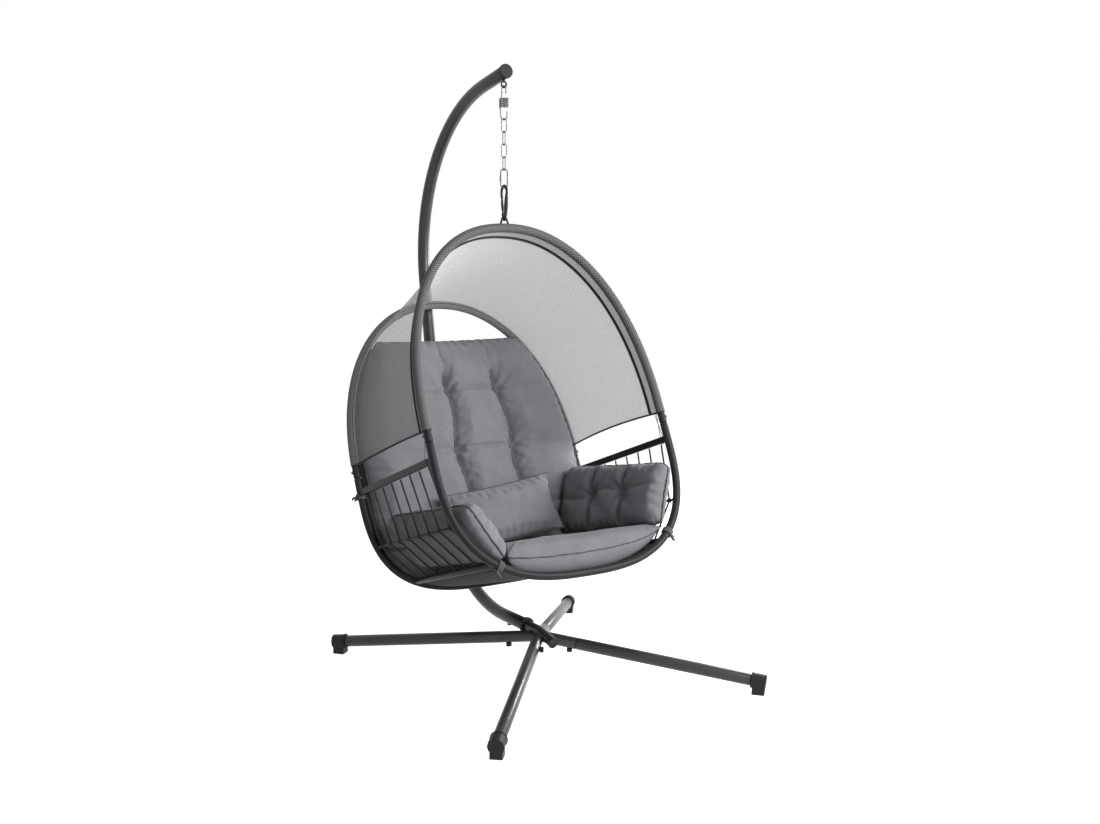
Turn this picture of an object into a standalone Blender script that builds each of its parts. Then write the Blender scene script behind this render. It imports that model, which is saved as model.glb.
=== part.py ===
"""Hanging chair on a C-shaped stand.

A crossed base of four sloping legs carries a bent pole. A spring, a short chain, a quick link
and a snap hook hang from the pole's tip and hold a basket: two leaning hoops with a mesh canopy,
corded sides, a sling seat and loose cushions.

Metres, +Z up. The chair faces -Y. The model is laid out from the hub's axis, and one empty then
moves it so that the origin lies on the floor in the middle of the object's outline.
"""
import math

import bmesh
import bpy
from mathutils import Matrix, Vector

# Clearances
CLEAR = 0.0003
SLIP = 0.0004
LINK_CLEAR = 0.00035
WELD = 0.00003

# Base: hub, legs and feet
HUB_HEIGHT = 0.121
LEG_SPREAD = math.radians(41.2)
LEG_REACH = 0.7275
FOOT_AXIS_HEIGHT = 0.037
LEG_RADIUS = 0.019
LEG_WALL = 0.0012
LEG_START = 0.125
LEG_SWAGE = 0.87
LEG_SWAGE_LENGTH = 0.06
LEG_SWAGE_TAPER = 0.005
CAP_RADIUS = 0.024
CAP_LENGTH = 0.046
CAP_END_WALL = 0.005
FOOT_PAD_WIDTH = 0.036
FOOT_PAD_LENGTH = 0.038
FOOT_PAD_INSET = 0.004
KNOB_RADIUS = 0.0095
KNOB_HEIGHT = 0.012
KNOB_SHANK_RADIUS = 0.0038
KNOB_SETBACK = 0.02
KNOB_DEPTH_SHARE = 0.4

# Spigot, collar and pole
SPIGOT_HEIGHT = 0.137
SPIGOT_RADIUS = 0.017
SPIGOT_WALL = 0.0016
SPIGOT_FRONT = 0.081
SPIGOT_NOSE_DROP = 0.017
SPIGOT_BACK = 0.205
PLUG_RADIUS = 0.0185
PLUG_FLANGE = 0.006
PLUG_SHANK = 0.016
COLLAR_Y = 0.07
COLLAR_LIP = 0.012
COLLAR_RADIUS = 0.0265
COLLAR_SLEEVE = 0.04
COLLAR_SLEEVE_WALL = 0.0012
POLE_RADIUS = 0.021
POLE_WALL = 0.0015
POLE_LEVEL_END = 0.225
POLE_LOWER_BEND = 0.45
POLE_LEAN = math.radians(9)
POLE_STRAIGHT = 0.75
POLE_UPPER_BEND = 0.5605
POLE_TIP_RISE = math.radians(11)
POLE_TIP_RUN = 0.1375
POLE_JOINT_UP = 0.27
POLE_SWAGE_LENGTH = 0.06
POLE_SWAGE = 0.88
POLE_BOLT_Y = 0.185
POLE_BOLT_RADIUS = 0.0076
POLE_BOLT_HEAD = 0.006
END_CAP_RADIUS = 0.0235
END_CAP_LIP = 0.012
END_CAP_SHANK = 0.02

# Suspension, all on one vertical line
HANG_BACK = 0.2114
EYE_WIRE = 0.003
EYE_RING = 0.009
EYE_SHANK_RADIUS = 0.005
EYE_DROP = 0.028
SPRING_WIRE = 0.002
SPRING_RADIUS = 0.0143
SPRING_WHOLE_TURNS = 5
SPRING_HEIGHT = 0.0308
SPRING_TOP_LEG = 0.0383
SPRING_LOW_LEG = 0.0382
HOOK_RADIUS = 0.012
HOOK_TAIL = 0.014
UPPER_HOOK_TURN = math.radians(90)
LOWER_HOOK_TURN = math.radians(114)
CHAIN_LINKS = 4
CHAIN_WIRE = 0.00175
CHAIN_LENGTH = 0.04385
CHAIN_HALF_WIDTH = 0.00875
CHAIN_TURN = math.radians(-6)
QUICK_WIRE = 0.0025
QUICK_LENGTH = 0.061
QUICK_HALF_WIDTH = 0.012
QUICK_GAP = 0.003
SLEEVE_RADIUS = 0.0048
SLEEVE_LENGTH = 0.016
SNAP_WIRE = 0.0045
SNAP_LENGTH = 0.1087
SNAP_TOP_RADIUS = 0.02
SNAP_LOW_RADIUS = 0.0085
SNAP_GATE_LENGTH = 0.044
SNAP_GATE_RADIUS = 0.0036
SNAP_GATE_HEEL = 0.0009
SNAP_GATE_HEEL_SHARE = 0.4
HOOP_EYE_WIRE = 0.0035
HOOP_EYE_HALF_WIDTH = 0.015
HOOP_EYE_BEND = 0.0095
HOOP_EYE_TALL = 0.0345

# Basket frame
HOOP_RADIUS = 0.0125
HOOP_WALL = 0.0012
HOOP_HALF_WIDTH = 0.4305
HOOP_LEAN = math.radians(25)
HOOP_SWAGE = 0.82
HOOP_SWAGE_LENGTH = 0.04
HOOP_SWAGE_TAPER = 0.004
FRONT_UPPER, FRONT_SIDE, FRONT_LOWER = 0.65, 0.10, 0.3965
FRONT_UPPER_POWER, FRONT_LOWER_POWER = 2.2, 2.75
BACK_UPPER, BACK_SIDE, BACK_LOWER = 0.593, 0.04, 0.386
BACK_UPPER_POWER, BACK_LOWER_POWER = 2.13, 3.3
BASKET_DEPTH = 0.5506
BACK_DROP = 0.0325
SCREW_HEAD_RADIUS = 0.0055
SCREW_HEAD_HEIGHT = 0.004
SCREW_RADIUS = 0.0026
SCREW_LENGTH = 0.008
ARM_BAR_BACK_Z = 0.565
ARM_BAR_FRONT_Z = 0.745
ARM_BAR_THICK = 0.012
ARM_BAR_TALL = 0.022
ARM_BAR_WALL = 0.0015
ARM_BAR_EDGE = 0.003
RAIL_INSET = 0.1305
RAIL_X = HOOP_HALF_WIDTH - RAIL_INSET
RAIL_RADIUS = 0.01
RAIL_WALL = 0.0012
LACE_BACK_Z = 0.395
LACE_FRONT_Z = 0.56
LACE_RADIUS = 0.004
CORD_COUNT = 8
CORD_RADIUS = 0.003
CORD_END_SPACE = 0.07
CORD_BEND = 0.03
SLING_THICK = 0.0025
BACK_SLING_TOP = 0.16
BACK_SLING_LOW = 0.995
BACK_SLING_BULGE = 0.012

# Canopy
CANOPY_THICK = 0.002
CANOPY_FRONT_HEM_Z = 0.827
CANOPY_BACK_HEM_Z = 0.65
CANOPY_SAG = 0.012
CANOPY_HEM_RISE = 0.006

# Cushions
BACK_PAD_TOP = 0.148
BACK_PAD_LENGTH = 0.72
BACK_PAD_TOP_INSET = 0.1525
BACK_PAD_TOP_HALF = HOOP_HALF_WIDTH - BACK_PAD_TOP_INSET
BACK_PAD_SIDE_INSET = 0.02
BACK_PAD_FRONT = 0.0785
BACK_PAD_REAR = 0.0385
BACK_PAD_LEVEL = 0.03
BACK_PAD_END_BOW = 0.015
BACK_PAD_CHANNELS = (-0.2, 0.32)
BACK_PAD_CHANNEL_WIDTH = 0.1
BACK_PAD_CHANNEL_SINK = 0.45
BACK_PAD_TUFTS = (0.43, -0.17, -0.76)
BACK_PAD_TUFT_WIDTH = 0.16
BACK_PAD_TUFT_HEIGHT = 0.12
BACK_PAD_TUFT_SINK = 0.62
BACK_PAD_CREASE_HEIGHT = 0.07
BACK_PAD_CREASE_SINK = 0.25
SEAT_PAD_LEFT_INSET = 0.1955
SEAT_PAD_RIGHT_INSET = 0.1035
SEAT_PAD_START = 0.045
SEAT_PAD_END = 0.88
SEAT_PAD_TALL = 0.12
SEAT_PAD_LIFT = 0.0021
SEAT_PAD_SQUARENESS = 6
ARM_PAD_LENGTH = 0.51
ARM_PAD_TALL = 0.212
ARM_PAD_LEFT_INSET = 0.096
ARM_PAD_LEFT = (ARM_PAD_LEFT_INSET - HOOP_HALF_WIDTH, 0.01, 0.4835)
ARM_PAD_LEFT_RISE = math.radians(13.5)
ARM_PAD_LEFT_TOE = math.radians(2.5)
ARM_PAD_LEFT_LEAN = math.radians(31.5)
ARM_PAD_RIGHT_INSET = 0.103
ARM_PAD_RIGHT = (HOOP_HALF_WIDTH - ARM_PAD_RIGHT_INSET, 0.0465, 0.544)
ARM_PAD_RIGHT_RISE = math.radians(9)
ARM_PAD_RIGHT_TOE = math.radians(5)
ARM_PAD_RIGHT_LEAN = math.radians(18)
ARM_PAD_HALF = 0.045
ARM_PAD_REAR = 0.037
ARM_PAD_END_BOW = 0.05
ARM_PAD_SIDE_BOW = 0.06
ARM_PAD_TUFTS = (-0.3, 0.32)
ARM_PAD_TUFT_LEVEL = 0.05
ARM_PAD_TUFT_WIDTH = 0.18
ARM_PAD_TUFT_HEIGHT = 0.3
ARM_PAD_TUFT_SINK = 0.6
ARM_PAD_CREASE_WIDTH = 0.06
ARM_PAD_CREASE_SINK = 0.3
LUMBAR_WIDTH = 0.42
LUMBAR_TALL = 0.2
LUMBAR_HALF = 0.05
LUMBAR_NEST = 0.011
LUMBAR_DOWN = 0.8165
LUMBAR_ROLL = math.radians(6)
LUMBAR_EDGE_BOW = 0.07
LUMBAR_SQUARENESS = 3

# Facets
ROUND_SIDES = 12
POLE_SIDES = 12
HOOP_SIDES = 8
WIRE_SIDES = 6
ARC_STEP = math.radians(11)
DENSE = 120
ARCH_POINTS = 21
BOW_POINTS = 21
LINK_STEP = math.pi / 6
RING_STEP = math.pi / 8
COIL_POINTS_PER_TURN = 9
SEAT_SLING_GRID = (11, 3)
BACK_SLING_GRID = (8, 7)
CANOPY_GRID = (24, 4)
BACK_PAD_GRID = (14, 18)
SEAT_PAD_GRID = (14, 8)
ARM_PAD_GRID = (14, 8)
LUMBAR_GRID = (10, 6)
SHARP_EDGE = math.radians(40)

LEG_SLOPE = math.atan2(HUB_HEIGHT - FOOT_AXIS_HEIGHT, LEG_REACH)
X_AXIS = Vector((1, 0, 0))
Y_AXIS = Vector((0, 1, 0))
Z_AXIS = Vector((0, 0, 1))
PLANE_UP = Vector((0, math.sin(HOOP_LEAN), math.cos(HOOP_LEAN)))
PLANE_BACK = Vector((0, math.cos(HOOP_LEAN), -math.sin(HOOP_LEAN)))


# Scene and object helpers

def clear_scene():
    for obj in list(bpy.data.objects):
        bpy.data.objects.remove(obj)


def make_material(name, colour, roughness, metallic=0.0):
    material = bpy.data.materials.new(name)
    material.use_nodes = True
    shader = material.node_tree.nodes["Principled BSDF"]
    shader.inputs["Base Color"].default_value = (*colour, 1.0)
    shader.inputs["Roughness"].default_value = roughness
    shader.inputs["Metallic"].default_value = metallic
    return material


def add_object(name, data):
    obj = bpy.data.objects.new(name, data)
    bpy.context.scene.collection.objects.link(obj)
    return obj


def add_body(name, parent, place):
    """An empty on a joint, at a place measured from the hub's ground point."""
    empty = add_object(name, None)
    empty["place"] = tuple(place)
    empty.location = Vector(place)
    if parent:
        empty.parent = parent
        empty.location = Vector(place) - Vector(parent["place"])
    return empty


def finish(obj, body, material):
    """Give an object its body and its own material, keeping its place."""
    obj.parent = body
    obj.matrix_parent_inverse = Matrix.Translation(-Vector(body["place"]))
    own = material.copy()
    own.name = obj.name + "_finish"
    obj.data.materials.clear()
    obj.data.materials.append(own)
    if obj.type == 'MESH':
        obj.data.shade_smooth()
        obj.data.set_sharp_from_angle(angle=SHARP_EDGE)
    return obj


def evaluated_mesh(obj):
    bpy.context.view_layer.update()
    graph = bpy.context.evaluated_depsgraph_get()
    return bpy.data.meshes.new_from_object(obj.evaluated_get(graph), depsgraph=graph)


def freeze(obj):
    """Turn a curve, or an object with modifiers, into a plain mesh object."""
    mesh = evaluated_mesh(obj)
    name = obj.name
    matrix = obj.matrix_world.copy()
    bpy.data.objects.remove(obj)
    fresh = add_object(name, mesh)
    fresh.matrix_world = matrix
    return fresh


def welded(obj):
    """Join points that coincide and drop faces without an area."""
    shape = bmesh.new()
    shape.from_mesh(obj.data)
    bmesh.ops.remove_doubles(shape, verts=shape.verts, dist=WELD)
    bmesh.ops.dissolve_degenerate(shape, edges=shape.edges, dist=WELD)
    shape.to_mesh(obj.data)
    shape.free()
    return obj


def combine(obj, other, operation):
    """Boolean of two mesh objects. The second one stays for further use."""
    step = obj.modifiers.new(operation.lower(), 'BOOLEAN')
    step.operation = operation
    step.object = other
    step.solver = 'EXACT'
    return welded(freeze(obj))


def combine_once(obj, other, operation):
    result = combine(obj, other, operation)
    bpy.data.objects.remove(other)
    return result


def drill(obj, place, direction, radius, depth):
    """A round hole that starts outside the wall and ends at the given depth."""
    start = place - direction * depth
    bit = cylinder("drill", radius, start, place + direction * depth)
    return combine_once(obj, bit, 'DIFFERENCE')


# Shape helpers

def face_outward(shape):
    bmesh.ops.recalc_face_normals(shape, faces=shape.faces)
    if shape.calc_volume(signed=True) < 0:
        bmesh.ops.reverse_faces(shape, faces=shape.faces)


def tube(name, points, radius, sides, wall=0.0, cyclic=False, factors=None):
    """A round bar along points, or a pipe where a wall is given."""
    data = bpy.data.curves.new(name, 'CURVE')
    data.dimensions = '3D'
    data.bevel_depth = radius
    data.bevel_resolution = (sides - 4) // 2
    data.use_fill_caps = wall == 0.0 and not cyclic
    spline = data.splines.new('POLY')
    spline.points.add(len(points) - 1)
    for index, place in enumerate(points):
        spline.points[index].co = (*place, 1.0)
        if factors:
            spline.points[index].radius = factors[index]
    spline.use_cyclic_u = cyclic
    obj = add_object(name, data)
    if wall:
        shell = obj.modifiers.new("wall", 'SOLIDIFY')
        shell.thickness = wall
        shell.offset = -1.0
    return welded(freeze(obj))


def cylinder(name, radius, start, end, sides=ROUND_SIDES):
    axis = end - start
    mesh = bpy.data.meshes.new(name)
    shape = bmesh.new()
    turn = axis.to_track_quat('Z', 'Y').to_matrix().to_4x4()
    place = Matrix.Translation((start + end) / 2) @ turn
    bmesh.ops.create_cone(shape, cap_ends=True, segments=sides, radius1=radius, radius2=radius,
                          depth=axis.length, matrix=place)
    shape.to_mesh(mesh)
    shape.free()
    return add_object(name, mesh)


def stepped_pin(name, start, direction, steps, sides=ROUND_SIDES):
    """Coaxial discs in a row, each a (radius, length), as one turned body."""
    turn = direction.to_track_quat('Z', 'Y')
    mesh = bpy.data.meshes.new(name)
    shape = bmesh.new()
    rings = []
    height = 0.0
    for radius, length in steps:
        rings.append((radius, height))
        height += length
        rings.append((radius, height))
    loops = []
    for radius, level in rings:
        loop = []
        for index in range(sides):
            angle = 2 * math.pi * index / sides
            local = Vector((radius * math.cos(angle), radius * math.sin(angle), level))
            loop.append(shape.verts.new(start + turn @ local))
        loops.append(loop)
    for low, high in zip(loops, loops[1:]):
        for index in range(sides):
            after = (index + 1) % sides
            shape.faces.new((low[index], low[after], high[after], high[index]))
    shape.faces.new(loops[0][::-1])
    shape.faces.new(loops[-1])
    face_outward(shape)
    shape.to_mesh(mesh)
    shape.free()
    return add_object(name, mesh)


def box(name, low, high):
    mesh = bpy.data.meshes.new(name)
    shape = bmesh.new()
    size = [b - a for a, b in zip(low, high)]
    middle = [(a + b) / 2 for a, b in zip(low, high)]
    place = Matrix.Translation(middle) @ Matrix.Diagonal((*size, 1.0))
    bmesh.ops.create_cube(shape, size=1.0, matrix=place)
    shape.to_mesh(mesh)
    shape.free()
    return add_object(name, mesh)


def grid_sheet(name, rows, thickness):
    """A sheet of even thickness through a grid of points."""
    mesh = bpy.data.meshes.new(name)
    shape = bmesh.new()
    verts = [[shape.verts.new(place) for place in row] for row in rows]
    for first, second in zip(verts, verts[1:]):
        for index in range(len(first) - 1):
            shape.faces.new((first[index], first[index + 1], second[index + 1], second[index]))
    shape.to_mesh(mesh)
    shape.free()
    obj = add_object(name, mesh)
    sheet = obj.modifiers.new("sheet", 'SOLIDIFY')
    sheet.thickness = thickness
    sheet.offset = 0.0
    return freeze(obj)


def pillow(name, columns, rows, surface):
    """A closed pad: surface(u, v, side) gives a point for u and v from -1 to 1 and side 1 or -1."""
    mesh = bpy.data.meshes.new(name)
    shape = bmesh.new()

    def grid(side, edge):
        verts = []
        for row in range(rows + 1):
            line = []
            for column in range(columns + 1):
                rim = row in (0, rows) or column in (0, columns)
                if rim and edge:
                    line.append(edge[row][column])
                else:
                    u = 2 * column / columns - 1
                    v = 2 * row / rows - 1
                    line.append(shape.verts.new(surface(u, v, side)))
            verts.append(line)
        return verts

    front = grid(1, None)
    rear = grid(-1, front)
    for verts in (front, rear):
        for row in range(rows):
            for column in range(columns):
                a, b = verts[row][column], verts[row][column + 1]
                c, d = verts[row + 1][column + 1], verts[row + 1][column]
                at_corner = row in (0, rows - 1) and column in (0, columns - 1)
                if at_corner and (row == 0) == (column == 0):
                    shape.faces.new((a, b, c))
                    shape.faces.new((a, c, d))
                elif at_corner:
                    shape.faces.new((a, b, d))
                    shape.faces.new((b, c, d))
                else:
                    shape.faces.new((a, b, c, d))
    face_outward(shape)
    shape.to_mesh(mesh)
    shape.free()
    return add_object(name, mesh)


def arc(centre, first, second, radius, start, end, step=ARC_STEP):
    """Points on a circle in the plane of two unit vectors."""
    count = max(2, math.ceil(abs(end - start) / step))
    points = []
    for index in range(count + 1):
        angle = start + (end - start) * index / count
        points.append(centre + first * (radius * math.cos(angle)) + second * (radius * math.sin(angle)))
    return points


def resample(points, count):
    """The same polyline with evenly spaced points."""
    lengths = [0.0]
    for a, b in zip(points, points[1:]):
        lengths.append(lengths[-1] + (b - a).length)
    result = []
    segment = 0
    for index in range(count):
        goal = lengths[-1] * index / (count - 1)
        while segment < len(points) - 2 and lengths[segment + 1] < goal:
            segment += 1
        span = lengths[segment + 1] - lengths[segment]
        share = (goal - lengths[segment]) / span
        result.append(points[segment].lerp(points[segment + 1], min(1.0, share)))
    return result


def mix(a, b, share):
    return a + (b - a) * share


# The pole's centreline, in the plane x = 0

def pole_point(y, z):
    return Vector((0, y, z))


def pole_stations():
    """Ends of the straight stretches and centres of the two bends."""
    lower_centre = pole_point(POLE_LEVEL_END, SPIGOT_HEIGHT + POLE_LOWER_BEND)
    heading = math.pi / 2 - POLE_LEAN
    straight_start = lower_centre + POLE_LOWER_BEND * pole_point(math.sin(heading), -math.cos(heading))
    along = pole_point(math.cos(heading), math.sin(heading))
    straight_end = straight_start + along * POLE_STRAIGHT
    upper_centre = straight_end + POLE_UPPER_BEND * pole_point(-math.sin(heading), math.cos(heading))
    return lower_centre, straight_start, along, straight_end, upper_centre


def pole_lower_path():
    lower_centre, straight_start, along, _, _ = pole_stations()
    start = pole_point(COLLAR_Y + COLLAR_LIP + CLEAR, SPIGOT_HEIGHT)
    bend = arc(lower_centre, Y_AXIS, Z_AXIS, POLE_LOWER_BEND, -math.pi / 2, -POLE_LEAN)
    return [start] + bend, straight_start, along


def pole_upper_path():
    _, straight_start, along, _, upper_centre = pole_stations()
    start = straight_start + along * (POLE_JOINT_UP + CLEAR)
    end_angle = math.pi / 2 - POLE_TIP_RISE
    bend = arc(upper_centre, Y_AXIS, Z_AXIS, POLE_UPPER_BEND, -POLE_LEAN, end_angle)
    heading = pole_point(-math.cos(POLE_TIP_RISE), math.sin(POLE_TIP_RISE))
    return [start] + bend + [bend[-1] + heading * POLE_TIP_RUN], heading


def pole_back_reach():
    upper_centre = pole_stations()[4]
    return upper_centre.y + POLE_UPPER_BEND + POLE_RADIUS


def foot_front_reach():
    return LEG_REACH * math.cos(LEG_SPREAD) + CAP_RADIUS * math.sin(LEG_SPREAD)


def pole_height_at(y):
    """Height of the pole's axis above a point near the tip."""
    tip, heading = pole_upper_path()[0][-1], pole_upper_path()[1]
    return tip.z + (y - tip.y) * heading.z / heading.y


# Hoop outlines. A place on a hoop is x across and s up along its leaning plane from the arch's top.

class Hoop:
    def __init__(self, top, upper, upper_power, side, lower, lower_power):
        self.top = top
        self.upper = upper
        self.upper_power = upper_power
        self.side = side
        self.lower = lower
        self.lower_power = lower_power
        self.joint = -(upper + side / 2)

    def point(self, x, s):
        return self.top + X_AXIS * x + PLANE_UP * s

    def half_width(self, s):
        """Distance from the middle to the tube's axis at a level."""
        if s > -self.upper:
            share = (s + self.upper) / self.upper
            power = self.upper_power
        elif s > -self.upper - self.side:
            return HOOP_HALF_WIDTH
        else:
            share = (-s - self.upper - self.side) / self.lower
            power = self.lower_power
        return HOOP_HALF_WIDTH * max(0.0, 1 - min(1.0, share) ** power) ** (1 / power)

    def low_point(self, x):
        """The point of the lower curve at a distance from the middle."""
        rise = max(0.0, 1 - abs(x / HOOP_HALF_WIDTH) ** self.lower_power) ** (1 / self.lower_power)
        return self.point(x, -self.upper - self.side - self.lower * rise)

    def at_height(self, z):
        return (z - self.top.z) / PLANE_UP.z

    def side_point(self, z, sign):
        s = self.at_height(z)
        return self.point(sign * self.half_width(s), s)

    def upper_half(self, low):
        """Points from a level on the left, over the top, to the same level on the right."""
        right = []
        for index in range(DENSE + 1):
            angle = math.pi / 2 * index / DENSE
            x = HOOP_HALF_WIDTH * math.sin(angle) ** (2 / self.upper_power)
            s = self.upper * (math.cos(angle) ** (2 / self.upper_power) - 1)
            if s > low:
                right.append((x, s))
        right.append((self.half_width(low), low))
        left = [(-x, s) for x, s in right[:0:-1]]
        return [self.point(x, s) for x, s in left + right]

    def lower_half(self, high):
        """Points from a level on the left, under the seat, to the same level on the right."""
        right = []
        for index in range(DENSE + 1):
            angle = math.pi / 2 * index / DENSE
            x = HOOP_HALF_WIDTH * math.sin(angle) ** (2 / self.lower_power)
            s = -self.upper - self.side - self.lower * math.cos(angle) ** (2 / self.lower_power)
            right.append((x, s))
        right.append((self.half_width(high), high))
        left = [(-x, s) for x, s in right[:0:-1]]
        return [self.point(x, s) for x, s in left + right]

    def paths(self):
        """Centrelines of the upper arch and of the lower bow, up to its reduced ends."""
        arch_path = resample(self.upper_half(self.joint), ARCH_POINTS)
        bow_path = resample(self.lower_half(self.joint - HOOP_SWAGE_TAPER), BOW_POINTS)
        return arch_path, bow_path


# Stand

def leg_direction(azimuth):
    level = Vector((math.cos(azimuth), math.sin(azimuth), 0))
    return level * math.cos(LEG_SLOPE) - Z_AXIS * math.sin(LEG_SLOPE)


LEGS = {
    "front_left": (math.pi * 1.5 - LEG_SPREAD, "side"),
    "front_right": (math.pi * 1.5 + LEG_SPREAD, "under"),
    "back_left": (math.pi * 0.5 + LEG_SPREAD, "under"),
    "back_right": (math.pi * 0.5 - LEG_SPREAD, "side"),
}


def knob_direction(azimuth, place):
    level = Vector((math.cos(azimuth), math.sin(azimuth), 0))
    if place == "side":
        return Z_AXIS.cross(level)
    return Z_AXIS.cross(level).cross(leg_direction(azimuth))


def leg_point(azimuth, distance):
    """A point on a leg's axis, at a level distance from the hub's axis."""
    return Z_AXIS * HUB_HEIGHT + leg_direction(azimuth) * (distance / math.cos(LEG_SLOPE))


def nose_point(distance):
    """A point on the axis of the spigot's front stretch, which dips towards its end."""
    return pole_point(-distance, SPIGOT_HEIGHT - SPIGOT_NOSE_DROP * distance / SPIGOT_FRONT)


def build_hub(body, paint):
    """A welded cross of four sleeves for the legs, with the spigot for the pole on top."""
    spigot_start = pole_point(0.0, SPIGOT_HEIGHT)
    hub = cylinder("base_hub", SPIGOT_RADIUS, spigot_start, pole_point(SPIGOT_BACK, SPIGOT_HEIGHT))
    nose = cylinder("nose", SPIGOT_RADIUS, nose_point(0.0), nose_point(SPIGOT_FRONT))
    hub = combine_once(hub, nose, 'UNION')
    for azimuth, _ in LEGS.values():
        sleeve = cylinder("sleeve", LEG_RADIUS, leg_point(azimuth, 0.0), leg_point(azimuth, LEG_START))
        hub = combine_once(hub, sleeve, 'UNION')
    bore_start = LEG_START - LEG_SWAGE_LENGTH - CLEAR
    for azimuth, side in LEGS.values():
        bore = cylinder("bore", LEG_RADIUS * LEG_SWAGE / math.cos(math.pi / ROUND_SIDES) + SLIP,
                        leg_point(azimuth, bore_start), leg_point(azimuth, LEG_START + LEG_WALL))
        hub = combine_once(hub, bore, 'DIFFERENCE')
        outward = knob_direction(azimuth, side)
        hub = drill(hub, knob_seat(azimuth, outward), outward, KNOB_SHANK_RADIUS + SLIP, LEG_RADIUS / 2)
    inner = SPIGOT_RADIUS - SPIGOT_WALL
    nose_bore = cylinder("bore", inner, nose_point(SPIGOT_FRONT - PLUG_SHANK - CLEAR),
                         nose_point(SPIGOT_FRONT + SPIGOT_WALL))
    hub = combine_once(hub, nose_bore, 'DIFFERENCE')
    back_bore = cylinder("bore", inner, pole_point(COLLAR_Y - COLLAR_LIP, SPIGOT_HEIGHT),
                         pole_point(SPIGOT_BACK + SPIGOT_WALL, SPIGOT_HEIGHT))
    hub = combine_once(hub, back_bore, 'DIFFERENCE')
    hole = pole_point(POLE_BOLT_Y, SPIGOT_HEIGHT - SPIGOT_RADIUS)
    hub = drill(hub, hole, -Z_AXIS, KNOB_SHANK_RADIUS + SLIP, SPIGOT_RADIUS / 2)
    finish(hub, body, paint)


def knob_seat(azimuth, outward):
    return leg_point(azimuth, LEG_START - KNOB_SETBACK) + outward * LEG_RADIUS


def build_legs(body, paint, plastic):
    leg_end = LEG_REACH - CAP_END_WALL - CLEAR
    stations = (LEG_START - LEG_SWAGE_LENGTH, LEG_START + CLEAR, LEG_START + LEG_SWAGE_TAPER, leg_end)
    for name, (azimuth, side) in LEGS.items():
        path = [leg_point(azimuth, distance) for distance in stations]
        factors = [LEG_SWAGE, LEG_SWAGE, 1.0, 1.0]
        leg = tube("leg_" + name, path, LEG_RADIUS, ROUND_SIDES, LEG_WALL, factors=factors)
        outward = knob_direction(azimuth, side)
        seat = knob_seat(azimuth, outward)
        leg = drill(leg, seat, outward, KNOB_SHANK_RADIUS + SLIP, LEG_RADIUS / 2)
        finish(leg, body, paint)
        depth = LEG_RADIUS * KNOB_DEPTH_SHARE
        knob = stepped_pin("leg_knob_" + name, seat - outward * depth, outward,
                           [(KNOB_SHANK_RADIUS, depth + CLEAR), (KNOB_RADIUS, KNOB_HEIGHT)])
        finish(knob, body, plastic)
        build_foot("foot_" + name, azimuth, body, plastic)


def build_foot(name, azimuth, body, plastic):
    cap_start = leg_point(azimuth, LEG_REACH - CAP_LENGTH)
    cap = cylinder(name, CAP_RADIUS, cap_start, leg_point(azimuth, LEG_REACH))
    pad = box("pad", (LEG_REACH - FOOT_PAD_INSET - FOOT_PAD_LENGTH, -FOOT_PAD_WIDTH / 2, 0.0),
              (LEG_REACH - FOOT_PAD_INSET, FOOT_PAD_WIDTH / 2, FOOT_AXIS_HEIGHT))
    pad.rotation_euler.z = azimuth
    cap = combine_once(cap, pad, 'UNION')
    bore = cylinder("bore", LEG_RADIUS + SLIP, leg_point(azimuth, LEG_REACH - CAP_LENGTH * 2),
                    leg_point(azimuth, LEG_REACH - CAP_END_WALL))
    finish(combine_once(cap, bore, 'DIFFERENCE'), body, plastic)


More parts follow.
